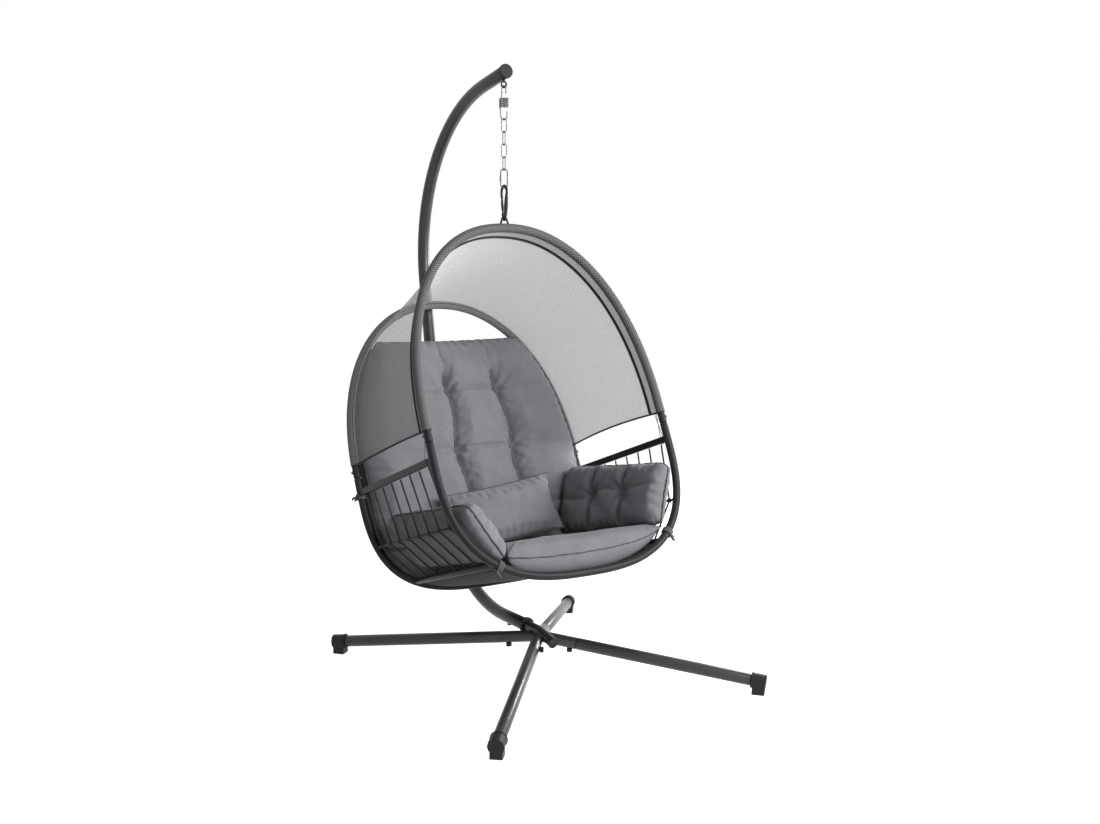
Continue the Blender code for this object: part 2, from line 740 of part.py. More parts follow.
def build_pole(body, paint, plastic):
    inward = (nose_point(0.0) - nose_point(SPIGOT_FRONT)).normalized()
    plug = stepped_pin("spigot_plug", nose_point(SPIGOT_FRONT) - inward * (CLEAR + PLUG_FLANGE), inward,
                       [(PLUG_RADIUS, PLUG_FLANGE), (SPIGOT_RADIUS - SPIGOT_WALL - SLIP, PLUG_SHANK)])
    finish(plug, body, plastic)

    sleeve_radius = SPIGOT_RADIUS + SLIP + COLLAR_SLEEVE_WALL
    collar = stepped_pin("pole_collar", pole_point(COLLAR_Y, SPIGOT_HEIGHT), Y_AXIS,
                         [(COLLAR_RADIUS, COLLAR_LIP), (sleeve_radius, COLLAR_SLEEVE)])
    bore = cylinder("bore", SPIGOT_RADIUS + SLIP, pole_point(COLLAR_Y - COLLAR_LIP, SPIGOT_HEIGHT),
                    pole_point(COLLAR_Y + COLLAR_LIP + 2 * COLLAR_SLEEVE, SPIGOT_HEIGHT))
    finish(combine_once(collar, bore, 'DIFFERENCE'), body, plastic)

    path, straight_start, along = pole_lower_path()
    joint = straight_start + along * POLE_JOINT_UP
    taper = along * POLE_RADIUS * (1 - POLE_SWAGE) * 2
    path += [joint - taper, joint, joint + along * POLE_SWAGE_LENGTH]
    factors = [1.0] * (len(path) - 2) + [POLE_SWAGE, POLE_SWAGE]
    lower = tube("pole_lower", path, POLE_RADIUS, POLE_SIDES, POLE_WALL, factors=factors)
    seat = pole_point(POLE_BOLT_Y, SPIGOT_HEIGHT - POLE_RADIUS)
    lower = drill(lower, seat, -Z_AXIS, KNOB_SHANK_RADIUS + SLIP, POLE_RADIUS / 4)
    finish(lower, body, paint)
    depth = POLE_RADIUS - SPIGOT_RADIUS + SPIGOT_RADIUS / 3
    bolt = stepped_pin("pole_bolt", seat + Z_AXIS * depth, -Z_AXIS,
                       [(KNOB_SHANK_RADIUS, depth + CLEAR), (POLE_BOLT_RADIUS, POLE_BOLT_HEAD)])
    finish(bolt, body, plastic)

    path, heading = pole_upper_path()
    finish(tube("pole_upper", path, POLE_RADIUS, POLE_SIDES, POLE_WALL), body, paint)
    shank_radius = (POLE_RADIUS - POLE_WALL) * math.cos(math.pi / POLE_SIDES) - SLIP
    cap = stepped_pin("pole_end_cap", path[-1] - heading * END_CAP_SHANK, heading,
                      [(shank_radius, END_CAP_SHANK + CLEAR), (END_CAP_RADIUS, END_CAP_LIP)])
    finish(cap, body, plastic)


# Suspension heights, from the pole down to the basket

POLE_UNDERSIDE = pole_height_at(HANG_BACK) - POLE_RADIUS / math.cos(POLE_TIP_RISE)
EYE_LOW = POLE_UNDERSIDE - EYE_DROP + EYE_WIRE
HOOK_TOP = EYE_LOW + EYE_WIRE + SPRING_WIRE + LINK_CLEAR
COIL_TOP = HOOK_TOP - SPRING_TOP_LEG
COIL_LOW = COIL_TOP - SPRING_HEIGHT
HOOK_LOW = COIL_LOW - SPRING_LOW_LEG
CHAIN_TOP = HOOK_LOW + SPRING_WIRE + CHAIN_WIRE + LINK_CLEAR
CHAIN_PITCH = CHAIN_LENGTH - 2 * CHAIN_WIRE - LINK_CLEAR
CHAIN_LOW = CHAIN_TOP - CHAIN_PITCH * (CHAIN_LINKS - 1) - CHAIN_LENGTH
QUICK_TOP = CHAIN_LOW + CHAIN_WIRE + QUICK_WIRE + LINK_CLEAR
QUICK_LOW = QUICK_TOP - QUICK_LENGTH
SNAP_TOP = QUICK_LOW + QUICK_WIRE + SNAP_WIRE + LINK_CLEAR
SNAP_LOW = SNAP_TOP - SNAP_LENGTH
HOOP_EYE_TOP = SNAP_LOW + SNAP_WIRE + HOOP_EYE_WIRE + LINK_CLEAR
HOOP_TOP = HOOP_EYE_TOP - HOOP_EYE_TALL


def hang_point(z):
    return Vector((0, HANG_BACK, z))


def level_direction(turn):
    return Vector((math.cos(turn), math.sin(turn), 0))


def oval_link(name, top, length, half_width, wire, turn):
    """A closed link of two half rounds and two straight legs."""
    across = level_direction(turn)
    high = hang_point(top - half_width)
    low = hang_point(top - length + half_width)
    points = arc(high, across, Z_AXIS, half_width, 0.0, math.pi, LINK_STEP)
    points += arc(low, across, Z_AXIS, half_width, math.pi, 2 * math.pi, LINK_STEP)
    return tube(name, points, wire, WIRE_SIDES, cyclic=True)


def build_eye(body, steel):
    ring_centre = hang_point(EYE_LOW + EYE_RING)
    circle = arc(ring_centre, X_AXIS, Z_AXIS, EYE_RING, 0.0, 2 * math.pi, RING_STEP)
    ring = tube("pole_eye", circle[:-1], EYE_WIRE, WIRE_SIDES, cyclic=True)
    shank_top = hang_point(POLE_UNDERSIDE - CLEAR - EYE_SHANK_RADIUS * math.tan(POLE_TIP_RISE))
    shank = cylinder("shank", EYE_SHANK_RADIUS, ring_centre + Z_AXIS * EYE_RING, shank_top)
    finish(combine_once(ring, shank, 'UNION'), body, steel)


def coil_points():
    """The spring's wire: a helix between the hooks' legs, with straight ends one wire diameter long."""
    sweep = UPPER_HOOK_TURN - LOWER_HOOK_TURN + 2 * math.pi * (SPRING_WHOLE_TURNS + 1)
    count = round(COIL_POINTS_PER_TURN * sweep / (2 * math.pi))
    points = []
    for index in range(count + 1):
        angle = LOWER_HOOK_TURN + sweep * index / count
        height = COIL_LOW + SPRING_HEIGHT * index / count
        points.append(hang_point(height) + level_direction(angle) * SPRING_RADIUS)
    lead_in = points[0] + (points[0] - points[1]).normalized() * 2 * SPRING_WIRE
    lead_out = points[-1] + (points[-1] - points[-2]).normalized() * 2 * SPRING_WIRE
    return [lead_in] + points + [lead_out]


def least_coil_gap(points):
    """Smallest clear distance between one turn of wire and the next."""
    least = SPRING_HEIGHT
    for index, place in enumerate(points):
        for other in points[index + COIL_POINTS_PER_TURN // 2:]:
            least = min(least, (other - place).length - 2 * SPRING_WIRE)
    return least


def hook_points(top, turn, rise, leg_end):
    """A leg that leaves the coil, goes round a half circle and ends in a short tail."""
    across = level_direction(turn)
    up = Z_AXIS * rise
    centre = hang_point(top) - up * HOOK_RADIUS
    leg = hang_point(leg_end) + across * SPRING_RADIUS
    bend = arc(centre, across, up, HOOK_RADIUS, 0.0, math.pi, RING_STEP)
    tail = bend[-1] - up * HOOK_TAIL
    return [leg] + bend + [tail]


def build_spring(upper_body, lower_body, steel):
    points = coil_points()
    coil = tube("spring_coil", points, SPRING_WIRE, WIRE_SIDES)
    print("spring_coil least gap to itself, mm:", round(least_coil_gap(points) * 1000, 2))
    over_coil = COIL_TOP + SPRING_WIRE + CLEAR
    under_coil = COIL_LOW - SPRING_WIRE - CLEAR
    upper_path = hook_points(HOOK_TOP, UPPER_HOOK_TURN, 1, over_coil)
    lower_path = hook_points(HOOK_LOW, LOWER_HOOK_TURN, -1, under_coil)
    upper = tube("spring_upper_hook", upper_path, SPRING_WIRE, WIRE_SIDES)
    lower = tube("spring_lower_hook", lower_path, SPRING_WIRE, WIRE_SIDES)
    finish(coil, upper_body, steel)
    finish(upper, upper_body, steel)
    finish(lower, lower_body, steel)


def build_chain(bodies, steel):
    for index in range(CHAIN_LINKS):
        name = "chain_link_%d" % (index + 1)
        turn = CHAIN_TURN + (index % 2) * math.pi / 2
        top = CHAIN_TOP - index * CHAIN_PITCH
        link = oval_link(name, top, CHAIN_LENGTH, CHAIN_HALF_WIDTH, CHAIN_WIRE, turn)
        finish(link, bodies[name], steel)


def build_quick_link(bodies, steel):
    across = level_direction(CHAIN_TURN)
    high = hang_point(QUICK_TOP - QUICK_HALF_WIDTH)
    low = hang_point(QUICK_LOW + QUICK_HALF_WIDTH)
    middle = hang_point((QUICK_TOP + QUICK_LOW) / 2) - across * QUICK_HALF_WIDTH
    points = [middle - Z_AXIS * QUICK_GAP / 2]
    points += arc(low, across, Z_AXIS, QUICK_HALF_WIDTH, math.pi, 2 * math.pi, LINK_STEP)
    points += arc(high, across, Z_AXIS, QUICK_HALF_WIDTH, 0.0, math.pi, LINK_STEP)
    points += [middle + Z_AXIS * QUICK_GAP / 2]
    finish(tube("quick_link", points, QUICK_WIRE, WIRE_SIDES), bodies["quick_link"], steel)
    ends = [middle - Z_AXIS * SLEEVE_LENGTH / 2, middle + Z_AXIS * SLEEVE_LENGTH / 2]
    wall = SLEEVE_RADIUS - QUICK_WIRE / math.cos(math.pi / WIRE_SIDES) - SLIP
    sleeve = tube("quick_link_sleeve", ends, SLEEVE_RADIUS, WIRE_SIDES, wall)
    finish(sleeve, bodies["quick_link_sleeve"], steel)


def snap_frame():
    """Centres of the hook's two round ends and the tangent side between them."""
    across = level_direction(CHAIN_TURN + math.pi / 2)
    high = hang_point(SNAP_TOP - SNAP_TOP_RADIUS)
    low = hang_point(SNAP_LOW + SNAP_LOW_RADIUS)
    tilt = math.asin((SNAP_TOP_RADIUS - SNAP_LOW_RADIUS) / (high.z - low.z))
    side = across * math.cos(tilt) - Z_AXIS * math.sin(tilt)
    return across, high, low, tilt, side


def gate_ends():
    _, high, low, _, side = snap_frame()
    top = high + side * SNAP_TOP_RADIUS
    bottom = low + side * SNAP_LOW_RADIUS
    middle = (top + bottom) / 2
    along = (top - bottom).normalized()
    return middle - along * SNAP_GATE_LENGTH / 2, middle + along * SNAP_GATE_LENGTH / 2, along


def build_snap_hook(bodies, black):
    across, high, low, tilt, _ = snap_frame()
    heel, nose, along = gate_ends()
    points = [heel - along * SNAP_GATE_HEEL]
    points += arc(low, across, Z_AXIS, SNAP_LOW_RADIUS, -tilt, -math.pi + tilt, RING_STEP)
    points += arc(high, across, Z_AXIS, SNAP_TOP_RADIUS, math.pi + tilt, -tilt, RING_STEP)
    points += [nose + along * LINK_CLEAR]
    finish(tube("snap_hook", points, SNAP_WIRE, HOOP_SIDES), bodies["snap_hook"], black)
    taper = along * SNAP_GATE_RADIUS
    gate_path = [heel, heel + taper, nose - along * CLEAR]
    gate_factors = [SNAP_GATE_HEEL_SHARE, 1.0, 1.0]
    gate = tube("snap_hook_gate", gate_path, SNAP_GATE_RADIUS, HOOP_SIDES, factors=gate_factors)
    finish(gate, bodies["snap_hook_gate"], black)


# Basket frame

def make_hoops():
    front = Hoop(hang_point(HOOP_TOP), FRONT_UPPER, FRONT_UPPER_POWER, FRONT_SIDE, FRONT_LOWER,
                 FRONT_LOWER_POWER)
    back_top = front.top + PLANE_BACK * BASKET_DEPTH - PLANE_UP * BACK_DROP
    back = Hoop(back_top, BACK_UPPER, BACK_UPPER_POWER, BACK_SIDE, BACK_LOWER, BACK_LOWER_POWER)
    return front, back


def build_hoop_eye(spaces, body, black):
    foot = hang_point(HOOP_TOP)
    bend = HOOP_EYE_BEND
    centre = hang_point(HOOP_EYE_TOP - bend)
    points = [foot + X_AXIS * HOOP_EYE_HALF_WIDTH]
    points += arc(centre, X_AXIS, Z_AXIS, bend, 0.0, math.pi, LINK_STEP)
    points += [foot - X_AXIS * HOOP_EYE_HALF_WIDTH]
    eye = tube("hoop_eye", points, HOOP_EYE_WIRE, HOOP_SIDES)
    finish(trim(eye, spaces), body, black)


def screw_place(hoop, sign):
    s = hoop.joint + HOOP_SWAGE_LENGTH / 2
    return hoop.point(sign * (hoop.half_width(s) + HOOP_RADIUS), s)


def swaged(hoop, bow_path):
    """The bow's path with its reduced ends, and the share of the full radius at each point."""
    reduced = []
    for s in (hoop.joint - CLEAR, hoop.joint + HOOP_SWAGE_LENGTH):
        reduced.append(hoop.point(hoop.half_width(s), s))
    mirrored = [Vector((-p.x, p.y, p.z)) for p in reduced[::-1]]
    factors = [HOOP_SWAGE] * 2 + [1.0] * len(bow_path) + [HOOP_SWAGE] * 2
    return mirrored + bow_path + reduced, factors


def build_hoop(name, hoop, body, paint, black):
    """An upper arch pushed over the reduced ends of a lower bow, with a screw on each side."""
    arch_path, bow_path = hoop.paths()
    arch = tube(name + "_arch", arch_path, HOOP_RADIUS, HOOP_SIDES, HOOP_WALL)
    swage_path, factors = swaged(hoop, bow_path)
    bow = tube(name + "_base", swage_path, HOOP_RADIUS, HOOP_SIDES, HOOP_WALL, factors=factors)
    for sign, side in ((-1, "left"), (1, "right")):
        outward = X_AXIS * sign
        seat = screw_place(hoop, sign)
        arch = drill(arch, seat, outward, SCREW_RADIUS + SLIP, SCREW_LENGTH)
        bow = drill(bow, seat, outward, SCREW_RADIUS + SLIP, SCREW_LENGTH)
        screw = stepped_pin("%s_screw_%s" % (name, side), seat - outward * SCREW_LENGTH, outward,
                            [(SCREW_RADIUS, SCREW_LENGTH + CLEAR), (SCREW_HEAD_RADIUS, SCREW_HEAD_HEIGHT)],
                            HOOP_SIDES)
        finish(screw, body, black)
    finish(arch, body, paint)
    finish(bow, body, paint)


def hoop_spaces(hoop):
    """The hoop's outer shape with a clearance, used to trim what meets it."""
    arch_path, bow_path = hoop.paths()
    swage_path, factors = swaged(hoop, bow_path)
    closed_path = [bow_path[0]] + arch_path + [bow_path[-1]]
    return [tube("arch_space", closed_path, HOOP_RADIUS + CLEAR, HOOP_SIDES),
            tube("bow_space", swage_path, HOOP_RADIUS + CLEAR, HOOP_SIDES, factors=factors)]


def trim(obj, cutters):
    for cutter in cutters:
        obj = combine(obj, cutter, 'DIFFERENCE')
    return obj


def arm_bar_ends(front, back, sign):
    return back.side_point(ARM_BAR_BACK_Z, sign), front.side_point(ARM_BAR_FRONT_Z, sign)


def bar_between(name, start, end, thick, tall):
    """A flat bar of rectangular section between two points, upright in section."""
    along = end - start
    turn = along.to_track_quat('Y', 'Z').to_matrix().to_4x4()
    bar = box(name, (-thick / 2, 0.0, -tall / 2), (thick / 2, along.length, tall / 2))
    bar.matrix_world = Matrix.Translation(start) @ turn
    return bar


def build_arm_bar(side, sign, hoops, spaces, body, paint):
    start, end = arm_bar_ends(*hoops, sign)
    bar = bar_between("arm_bar_" + side, start, end, ARM_BAR_THICK, ARM_BAR_TALL)
    edge = bar.modifiers.new("edge", 'BEVEL')
    edge.width = ARM_BAR_EDGE
    edge.segments = 2
    bar = freeze(bar)
    inner = (ARM_BAR_THICK - 2 * ARM_BAR_WALL, ARM_BAR_TALL - 2 * ARM_BAR_WALL)
    hollow = bar_between("hollow", start, end, *inner)
    bar = combine_once(bar, hollow, 'DIFFERENCE')
    bar.data.transform(bar.matrix_world)
    bar.matrix_world = Matrix.Identity(4)
    finish(trim(bar, spaces), body, paint)


def rail_ends(front, back, sign):
    return back.low_point(sign * RAIL_X), front.low_point(sign * RAIL_X)


def build_rail(side, sign, hoops, spaces, body, paint):
    rail = tube("seat_rail_" + side, rail_ends(*hoops, sign), RAIL_RADIUS, HOOP_SIDES, RAIL_WALL)
    finish(trim(rail, spaces), body, paint)


def rail_space(sign, hoops):
    return tube("rail_space", rail_ends(*hoops, sign), RAIL_RADIUS + CLEAR, HOOP_SIDES)


def build_side_cords(side, sign, hoops, spaces, body, cord_finish):
    """Cords from the arm bar, bent inward at a lacing rope, down to the seat rail."""
    front, back = hoops
    lace = [back.side_point(LACE_BACK_Z, sign), front.side_point(LACE_FRONT_Z, sign)]
    bar = arm_bar_ends(front, back, sign)
    rail = rail_ends(front, back, sign)
    panel = tube("side_cords_" + side, lace, LACE_RADIUS, WIRE_SIDES)
    for index in range(CORD_COUNT):
        share = CORD_END_SPACE + (1 - 2 * CORD_END_SPACE) * index / (CORD_COUNT - 1)
        top = mix(bar[0], bar[1], share)
        bend = mix(lace[0], lace[1], share)
        low = mix(rail[0], rail[1], share)
        points = [top, mix(bend, top, CORD_BEND), mix(bend, low, CORD_BEND), low]
        cord = tube("cord", points, CORD_RADIUS, WIRE_SIDES)
        panel = combine_once(panel, cord, 'UNION')
    bar_space = bar_between("bar_space", *bar, ARM_BAR_THICK + 2 * CLEAR, ARM_BAR_TALL + 2 * CLEAR)
    side_spaces = [bar_space, rail_space(sign, hoops)]
    panel = trim(panel, spaces + side_spaces)
    for space in side_spaces:
        bpy.data.objects.remove(space)
    finish(panel, body, cord_finish)


def seat_point(hoops, x, share):
    """A point of the seat surface: across, and from the front hoop to the back one."""
    front, back = hoops
    return mix(front.low_point(x), back.low_point(x), share)


def basket_floor(hoops, x, share):
    """The seat surface between the rails, and the plane of the cords beside them."""
    if abs(x) <= RAIL_X:
        return seat_point(hoops, x, share)
    front, back = hoops
    sign = math.copysign(1, x)
    rail = seat_point(hoops, sign * RAIL_X, share)
    lace = mix(front.side_point(LACE_FRONT_Z, sign), back.side_point(LACE_BACK_Z, sign), share)
    return mix(rail, lace, (x - rail.x) / (lace.x - rail.x))


def build_seat_sling(hoops, spaces, body, cloth):
    columns, rows = SEAT_SLING_GRID
    grid = []
    for row in range(rows + 1):
        share = row / rows
        across = [2 * column / columns - 1 for column in range(columns + 1)]
        grid.append([seat_point(hoops, RAIL_X * place, share) for place in across])
    sling = grid_sheet("seat_sling", grid, SLING_THICK)
    rail_spaces = [rail_space(sign, hoops) for sign in (-1, 1)]
    sling = trim(sling, spaces + rail_spaces)
    for space in rail_spaces:
        bpy.data.objects.remove(space)
    finish(sling, body, cloth)


def build_back_sling(back, spaces, body, cloth):
    columns, rows = BACK_SLING_GRID
    grid = []
    for row in range(rows + 1):
        s = -mix(BACK_SLING_TOP, BACK_SLING_LOW, row / rows)
        reach = back.half_width(s)
        line = []
        for column in range(columns + 1):
            across = 2 * column / columns - 1
            bulge = PLANE_BACK * (BACK_SLING_BULGE * (1 - across ** 2))
            line.append(back.point(reach * across, s) + bulge)
        grid.append(line)
    sling = grid_sheet("back_sling", grid, SLING_THICK)
    finish(trim(sling, spaces), body, cloth)


# Canopy

def build_canopy(hoops, spaces, body, cloth):
    front, back = hoops
    along, across = CANOPY_GRID
    front_arc = front.upper_half(front.at_height(CANOPY_FRONT_HEM_Z))
    back_arc = back.upper_half(back.at_height(CANOPY_BACK_HEM_Z))
    dense = 8 * along + 1
    front_line = resample(front_arc, dense)
    back_line = resample(back_arc, dense)
    heart = (front.point(0, -front.upper) + back.point(0, -back.upper)) / 2
    grid = []
    for row in range(across + 1):
        share = row / across
        middle = 4 * share * (1 - share)
        line = []
        for column in range(along + 1):
            start = CANOPY_HEM_RISE * middle
            place = start + (1 - 2 * start) * column / along
            index = round(place * (dense - 1))
            point = mix(front_line[index], back_line[index], share)
            inward = (heart - point).normalized()
            line.append(point + inward * (CANOPY_SAG * middle))
        grid.append(line)
    canopy = grid_sheet("canopy", grid, CANOPY_THICK)
    finish(trim(canopy, spaces), body, cloth)


# Cushions

def crown(u, v, power=4):
    return math.sqrt(max(0.0, (1 - abs(u) ** power) * (1 - abs(v) ** power)))


def dent(u, centre, width):
    return math.exp(-((u - centre) / width) ** 2)


def build_back_cushion(back, body, cloth):
    rest = PLANE_BACK * -BACK_PAD_LEVEL

    def surface(u, v, side):
        bow = 1 - BACK_PAD_END_BOW * (1 - u * u)
        s = -BACK_PAD_TOP - BACK_PAD_LENGTH * (1 - v * bow) / 2
        x = u * max(BACK_PAD_TOP_HALF, back.half_width(s) - BACK_PAD_SIDE_INSET)
        swell = crown(u, v)
        if side > 0:
            sink = 0.0
            for channel in BACK_PAD_CHANNELS:
                groove = dent(u, channel, BACK_PAD_CHANNEL_WIDTH) * (1 - v ** 6)
                sink = max(sink, BACK_PAD_CHANNEL_SINK * groove)
                for row in BACK_PAD_TUFTS:
                    tuft = dent(u, channel, BACK_PAD_TUFT_WIDTH) * dent(v, row, BACK_PAD_TUFT_HEIGHT)
                    sink = max(sink, BACK_PAD_TUFT_SINK * tuft)
            for row in BACK_PAD_TUFTS:
                sink = max(sink, BACK_PAD_CREASE_SINK * dent(v, row, BACK_PAD_CREASE_HEIGHT))
            depth = BACK_PAD_FRONT * (1 - sink)
        else:
            depth = BACK_PAD_REAR
        return back.point(x, s) + rest - PLANE_BACK * (side * swell * depth)

    finish(pillow("back_cushion", *BACK_PAD_GRID, surface), body, cloth)


def build_seat_cushion(hoops, body, cloth):
    along = (seat_point(hoops, 0, 0) - seat_point(hoops, 0, 1)).normalized()
    normal = X_AXIS.cross(-along).normalized()

    def surface(u, v, side):
        share = mix(SEAT_PAD_START, SEAT_PAD_END, (v + 1) / 2)
        x = mix(SEAT_PAD_LEFT_INSET - HOOP_HALF_WIDTH, HOOP_HALF_WIDTH - SEAT_PAD_RIGHT_INSET, (u + 1) / 2)
        under = basket_floor(hoops, x, share) + normal * SEAT_PAD_LIFT
        over = seat_point(hoops, 0, share) + normal * SEAT_PAD_TALL + X_AXIS * x
        middle = (under + over) / 2
        return middle + (over - under) / 2 * (side * crown(u, v, SEAT_PAD_SQUARENESS))

    finish(pillow("seat_cushion", *SEAT_PAD_GRID, surface), body, cloth)


def build_arm_cushion(name, place, rise, toe, lean, body, cloth):
    """A pad along the basket's side, leaning outward, with its front end turned to the right."""
    centre = Vector(place)
    outward = X_AXIS * math.copysign(1, centre.x)
    level = X_AXIS * math.sin(toe) - Y_AXIS * math.cos(toe)
    along = level * math.cos(rise) + Z_AXIS * math.sin(rise)
    across = Z_AXIS.cross(level) * math.copysign(1, Z_AXIS.cross(level).dot(outward))
    upright = Z_AXIS * math.cos(rise) - level * math.sin(rise)
    up = upright * math.cos(lean) + across * math.sin(lean)
    inward = upright * math.sin(lean) - across * math.cos(lean)

    def surface(u, v, side):
        a = ARM_PAD_LENGTH / 2 * u * (1 - ARM_PAD_END_BOW * (1 - v * v))
        b = ARM_PAD_TALL / 2 * v * (1 - ARM_PAD_SIDE_BOW * (1 - u * u))
        sink = 0.0
        if side > 0:
            for place_along in ARM_PAD_TUFTS:
                tuft = dent(u, place_along, ARM_PAD_TUFT_WIDTH)
                tuft *= dent(v, ARM_PAD_TUFT_LEVEL, ARM_PAD_TUFT_HEIGHT)
                sink = max(sink, ARM_PAD_TUFT_SINK * tuft)
                sink = max(sink, ARM_PAD_CREASE_SINK * dent(u, place_along, ARM_PAD_CREASE_WIDTH))
        full = ARM_PAD_HALF if side > 0 else ARM_PAD_REAR
        depth = full * crown(u, v) * (1 - sink)
        return centre + along * a + up * b + inward * (side * depth)

    finish(pillow(name, *ARM_PAD_GRID, surface), body, cloth)


def build_lumbar_pillow(back, body, cloth):
    away = BACK_PAD_LEVEL + BACK_PAD_FRONT + LUMBAR_HALF - LUMBAR_NEST
    centre = back.point(0, -LUMBAR_DOWN) - PLANE_BACK * away
    along = X_AXIS * math.cos(LUMBAR_ROLL) + PLANE_UP * math.sin(LUMBAR_ROLL)
    up = PLANE_UP * math.cos(LUMBAR_ROLL) - X_AXIS * math.sin(LUMBAR_ROLL)

    def surface(u, v, side):
        x = LUMBAR_WIDTH / 2 * u * (1 - LUMBAR_EDGE_BOW * (1 - v * v))
        s = LUMBAR_TALL / 2 * v * (1 - LUMBAR_EDGE_BOW * (1 - u * u))
        depth = LUMBAR_HALF * crown(u, v, LUMBAR_SQUARENESS)
        return centre + along * x + up * s - PLANE_BACK * (side * depth)

    finish(pillow("lumbar_pillow", *LUMBAR_GRID, surface), body, cloth)


def make_bodies():
    """Empties on the joints, from the stand down to the basket."""
    shift = (foot_front_reach() - pole_back_reach()) / 2
    origin = add_object("layout", None)
    origin.location.y = shift
    origin["place"] = (0.0, 0.0, 0.0)
    bodies = {"stand": add_body("stand_body", origin, (0, 0, 0))}
    chain = [("spring_upper", EYE_LOW), ("spring_lower", COIL_LOW), ("chain_link_1", HOOK_LOW)]
    for index in range(1, CHAIN_LINKS):
        chain.append(("chain_link_%d" % (index + 1), CHAIN_TOP - index * CHAIN_PITCH))
    chain += [("quick_link", QUICK_TOP), ("snap_hook", SNAP_TOP), ("basket", HOOP_EYE_TOP)]
    parent = bodies["stand"]
    for name, height in chain:
        bodies[name] = add_body(name + "_body", parent, hang_point(height))
        parent = bodies[name]
    sleeve_place = hang_point(QUICK_LOW)
    bodies["quick_link_sleeve"] = add_body("quick_link_sleeve_body", bodies["quick_link"], sleeve_place)
    bodies["snap_hook_gate"] = add_body("snap_hook_gate_body", bodies["snap_hook"], gate_ends()[0])
    return bodies


def main():
    clear_scene()
    paint = make_material("grey_paint", (0.085, 0.09, 0.095), 0.45, 0.4)
    dark_paint = make_material("dark_paint", (0.03, 0.032, 0.035), 0.4, 0.3)
    plastic = make_material("black_plastic", (0.02, 0.02, 0.022), 0.55)
    black_steel = make_material("black_steel", (0.015, 0.015, 0.016), 0.35, 0.6)
    zinc = make_material("zinc", (0.55, 0.56, 0.57), 0.3, 1.0)
    mesh_cloth = make_material("mesh_cloth", (0.17, 0.17, 0.175), 0.85)
    dark_cloth = make_material("dark_cloth", (0.03, 0.03, 0.032), 0.85)
    cushion_cloth = make_material("cushion_cloth", (0.16, 0.165, 0.175), 0.9)
    cord_black = make_material("cord_black", (0.012, 0.012, 0.013), 0.8)

    bodies = make_bodies()
    stand = bodies["stand"]
    build_hub(stand, paint)
    build_legs(stand, paint, plastic)
    build_pole(stand, paint, plastic)
    build_eye(stand, black_steel)
    build_spring(bodies["spring_upper"], bodies["spring_lower"], zinc)
    build_chain(bodies, zinc)
    build_quick_link(bodies, zinc)
    build_snap_hook(bodies, black_steel)

    basket = bodies["basket"]
    hoops = make_hoops()
    front, back = hoops
    build_hoop("front_hoop", front, basket, dark_paint, black_steel)
    build_hoop("back_hoop", back, basket, dark_paint, black_steel)
    back_spaces = hoop_spaces(back)
    spaces = hoop_spaces(front) + back_spaces
    for side, sign in (("left", -1), ("right", 1)):
        build_arm_bar(side, sign, hoops, spaces, basket, dark_paint)
        build_rail(side, sign, hoops, spaces, basket, dark_paint)
        build_side_cords(side, sign, hoops, spaces, basket, cord_black)
    build_hoop_eye(spaces, basket, black_steel)
    build_seat_sling(hoops, spaces, basket, dark_cloth)
    build_back_sling(back, back_spaces, basket, mesh_cloth)
    build_canopy(hoops, spaces, basket, mesh_cloth)
    build_back_cushion(back, basket, cushion_cloth)
    build_seat_cushion(hoops, basket, cushion_cloth)
    build_arm_cushion("arm_cushion_left", ARM_PAD_LEFT, ARM_PAD_LEFT_RISE, ARM_PAD_LEFT_TOE,
                      ARM_PAD_LEFT_LEAN, basket, cushion_cloth)
    build_arm_cushion("arm_cushion_right", ARM_PAD_RIGHT, ARM_PAD_RIGHT_RISE, ARM_PAD_RIGHT_TOE,
                      ARM_PAD_RIGHT_LEAN, basket, cushion_cloth)
    build_lumbar_pillow(back, basket, cushion_cloth)
    for space in spaces:
        bpy.data.objects.remove(space)


main()
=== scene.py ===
"""Looks of the hanging chair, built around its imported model. Metres, +Z up, the chair faces -Y."""
import math

import bmesh
import bpy
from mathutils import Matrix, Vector, noise


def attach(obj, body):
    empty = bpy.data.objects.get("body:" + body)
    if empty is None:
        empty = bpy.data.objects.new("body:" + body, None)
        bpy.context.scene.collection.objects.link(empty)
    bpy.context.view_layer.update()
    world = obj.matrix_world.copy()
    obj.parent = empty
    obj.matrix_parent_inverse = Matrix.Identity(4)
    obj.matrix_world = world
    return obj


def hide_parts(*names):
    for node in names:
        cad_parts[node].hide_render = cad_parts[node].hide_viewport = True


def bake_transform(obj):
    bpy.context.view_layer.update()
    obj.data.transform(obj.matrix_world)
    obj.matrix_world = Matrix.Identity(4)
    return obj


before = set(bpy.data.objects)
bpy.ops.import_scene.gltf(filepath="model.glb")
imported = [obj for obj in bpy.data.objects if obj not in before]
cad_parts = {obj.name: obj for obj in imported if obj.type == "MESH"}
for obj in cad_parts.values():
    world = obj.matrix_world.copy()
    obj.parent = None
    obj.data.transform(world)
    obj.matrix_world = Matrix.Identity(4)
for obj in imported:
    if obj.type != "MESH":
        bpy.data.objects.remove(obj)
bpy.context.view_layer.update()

# Layout of the stand, as in the part's source
HUB_Y = -0.12575
CLEAR = 0.0003
HUB_HEIGHT = 0.121
LEG_SPREAD = math.radians(41.2)
LEG_REACH = 0.7275
FOOT_AXIS_HEIGHT = 0.037
LEG_RADIUS = 0.019
LEG_START = 0.125
CAP_RADIUS = 0.024
CAP_LENGTH = 0.046
SPIGOT_HEIGHT = 0.137
COLLAR_END = 0.0823
POLE_RADIUS = 0.021
POLE_LEVEL_END = 0.225
POLE_LOWER_BEND = 0.45
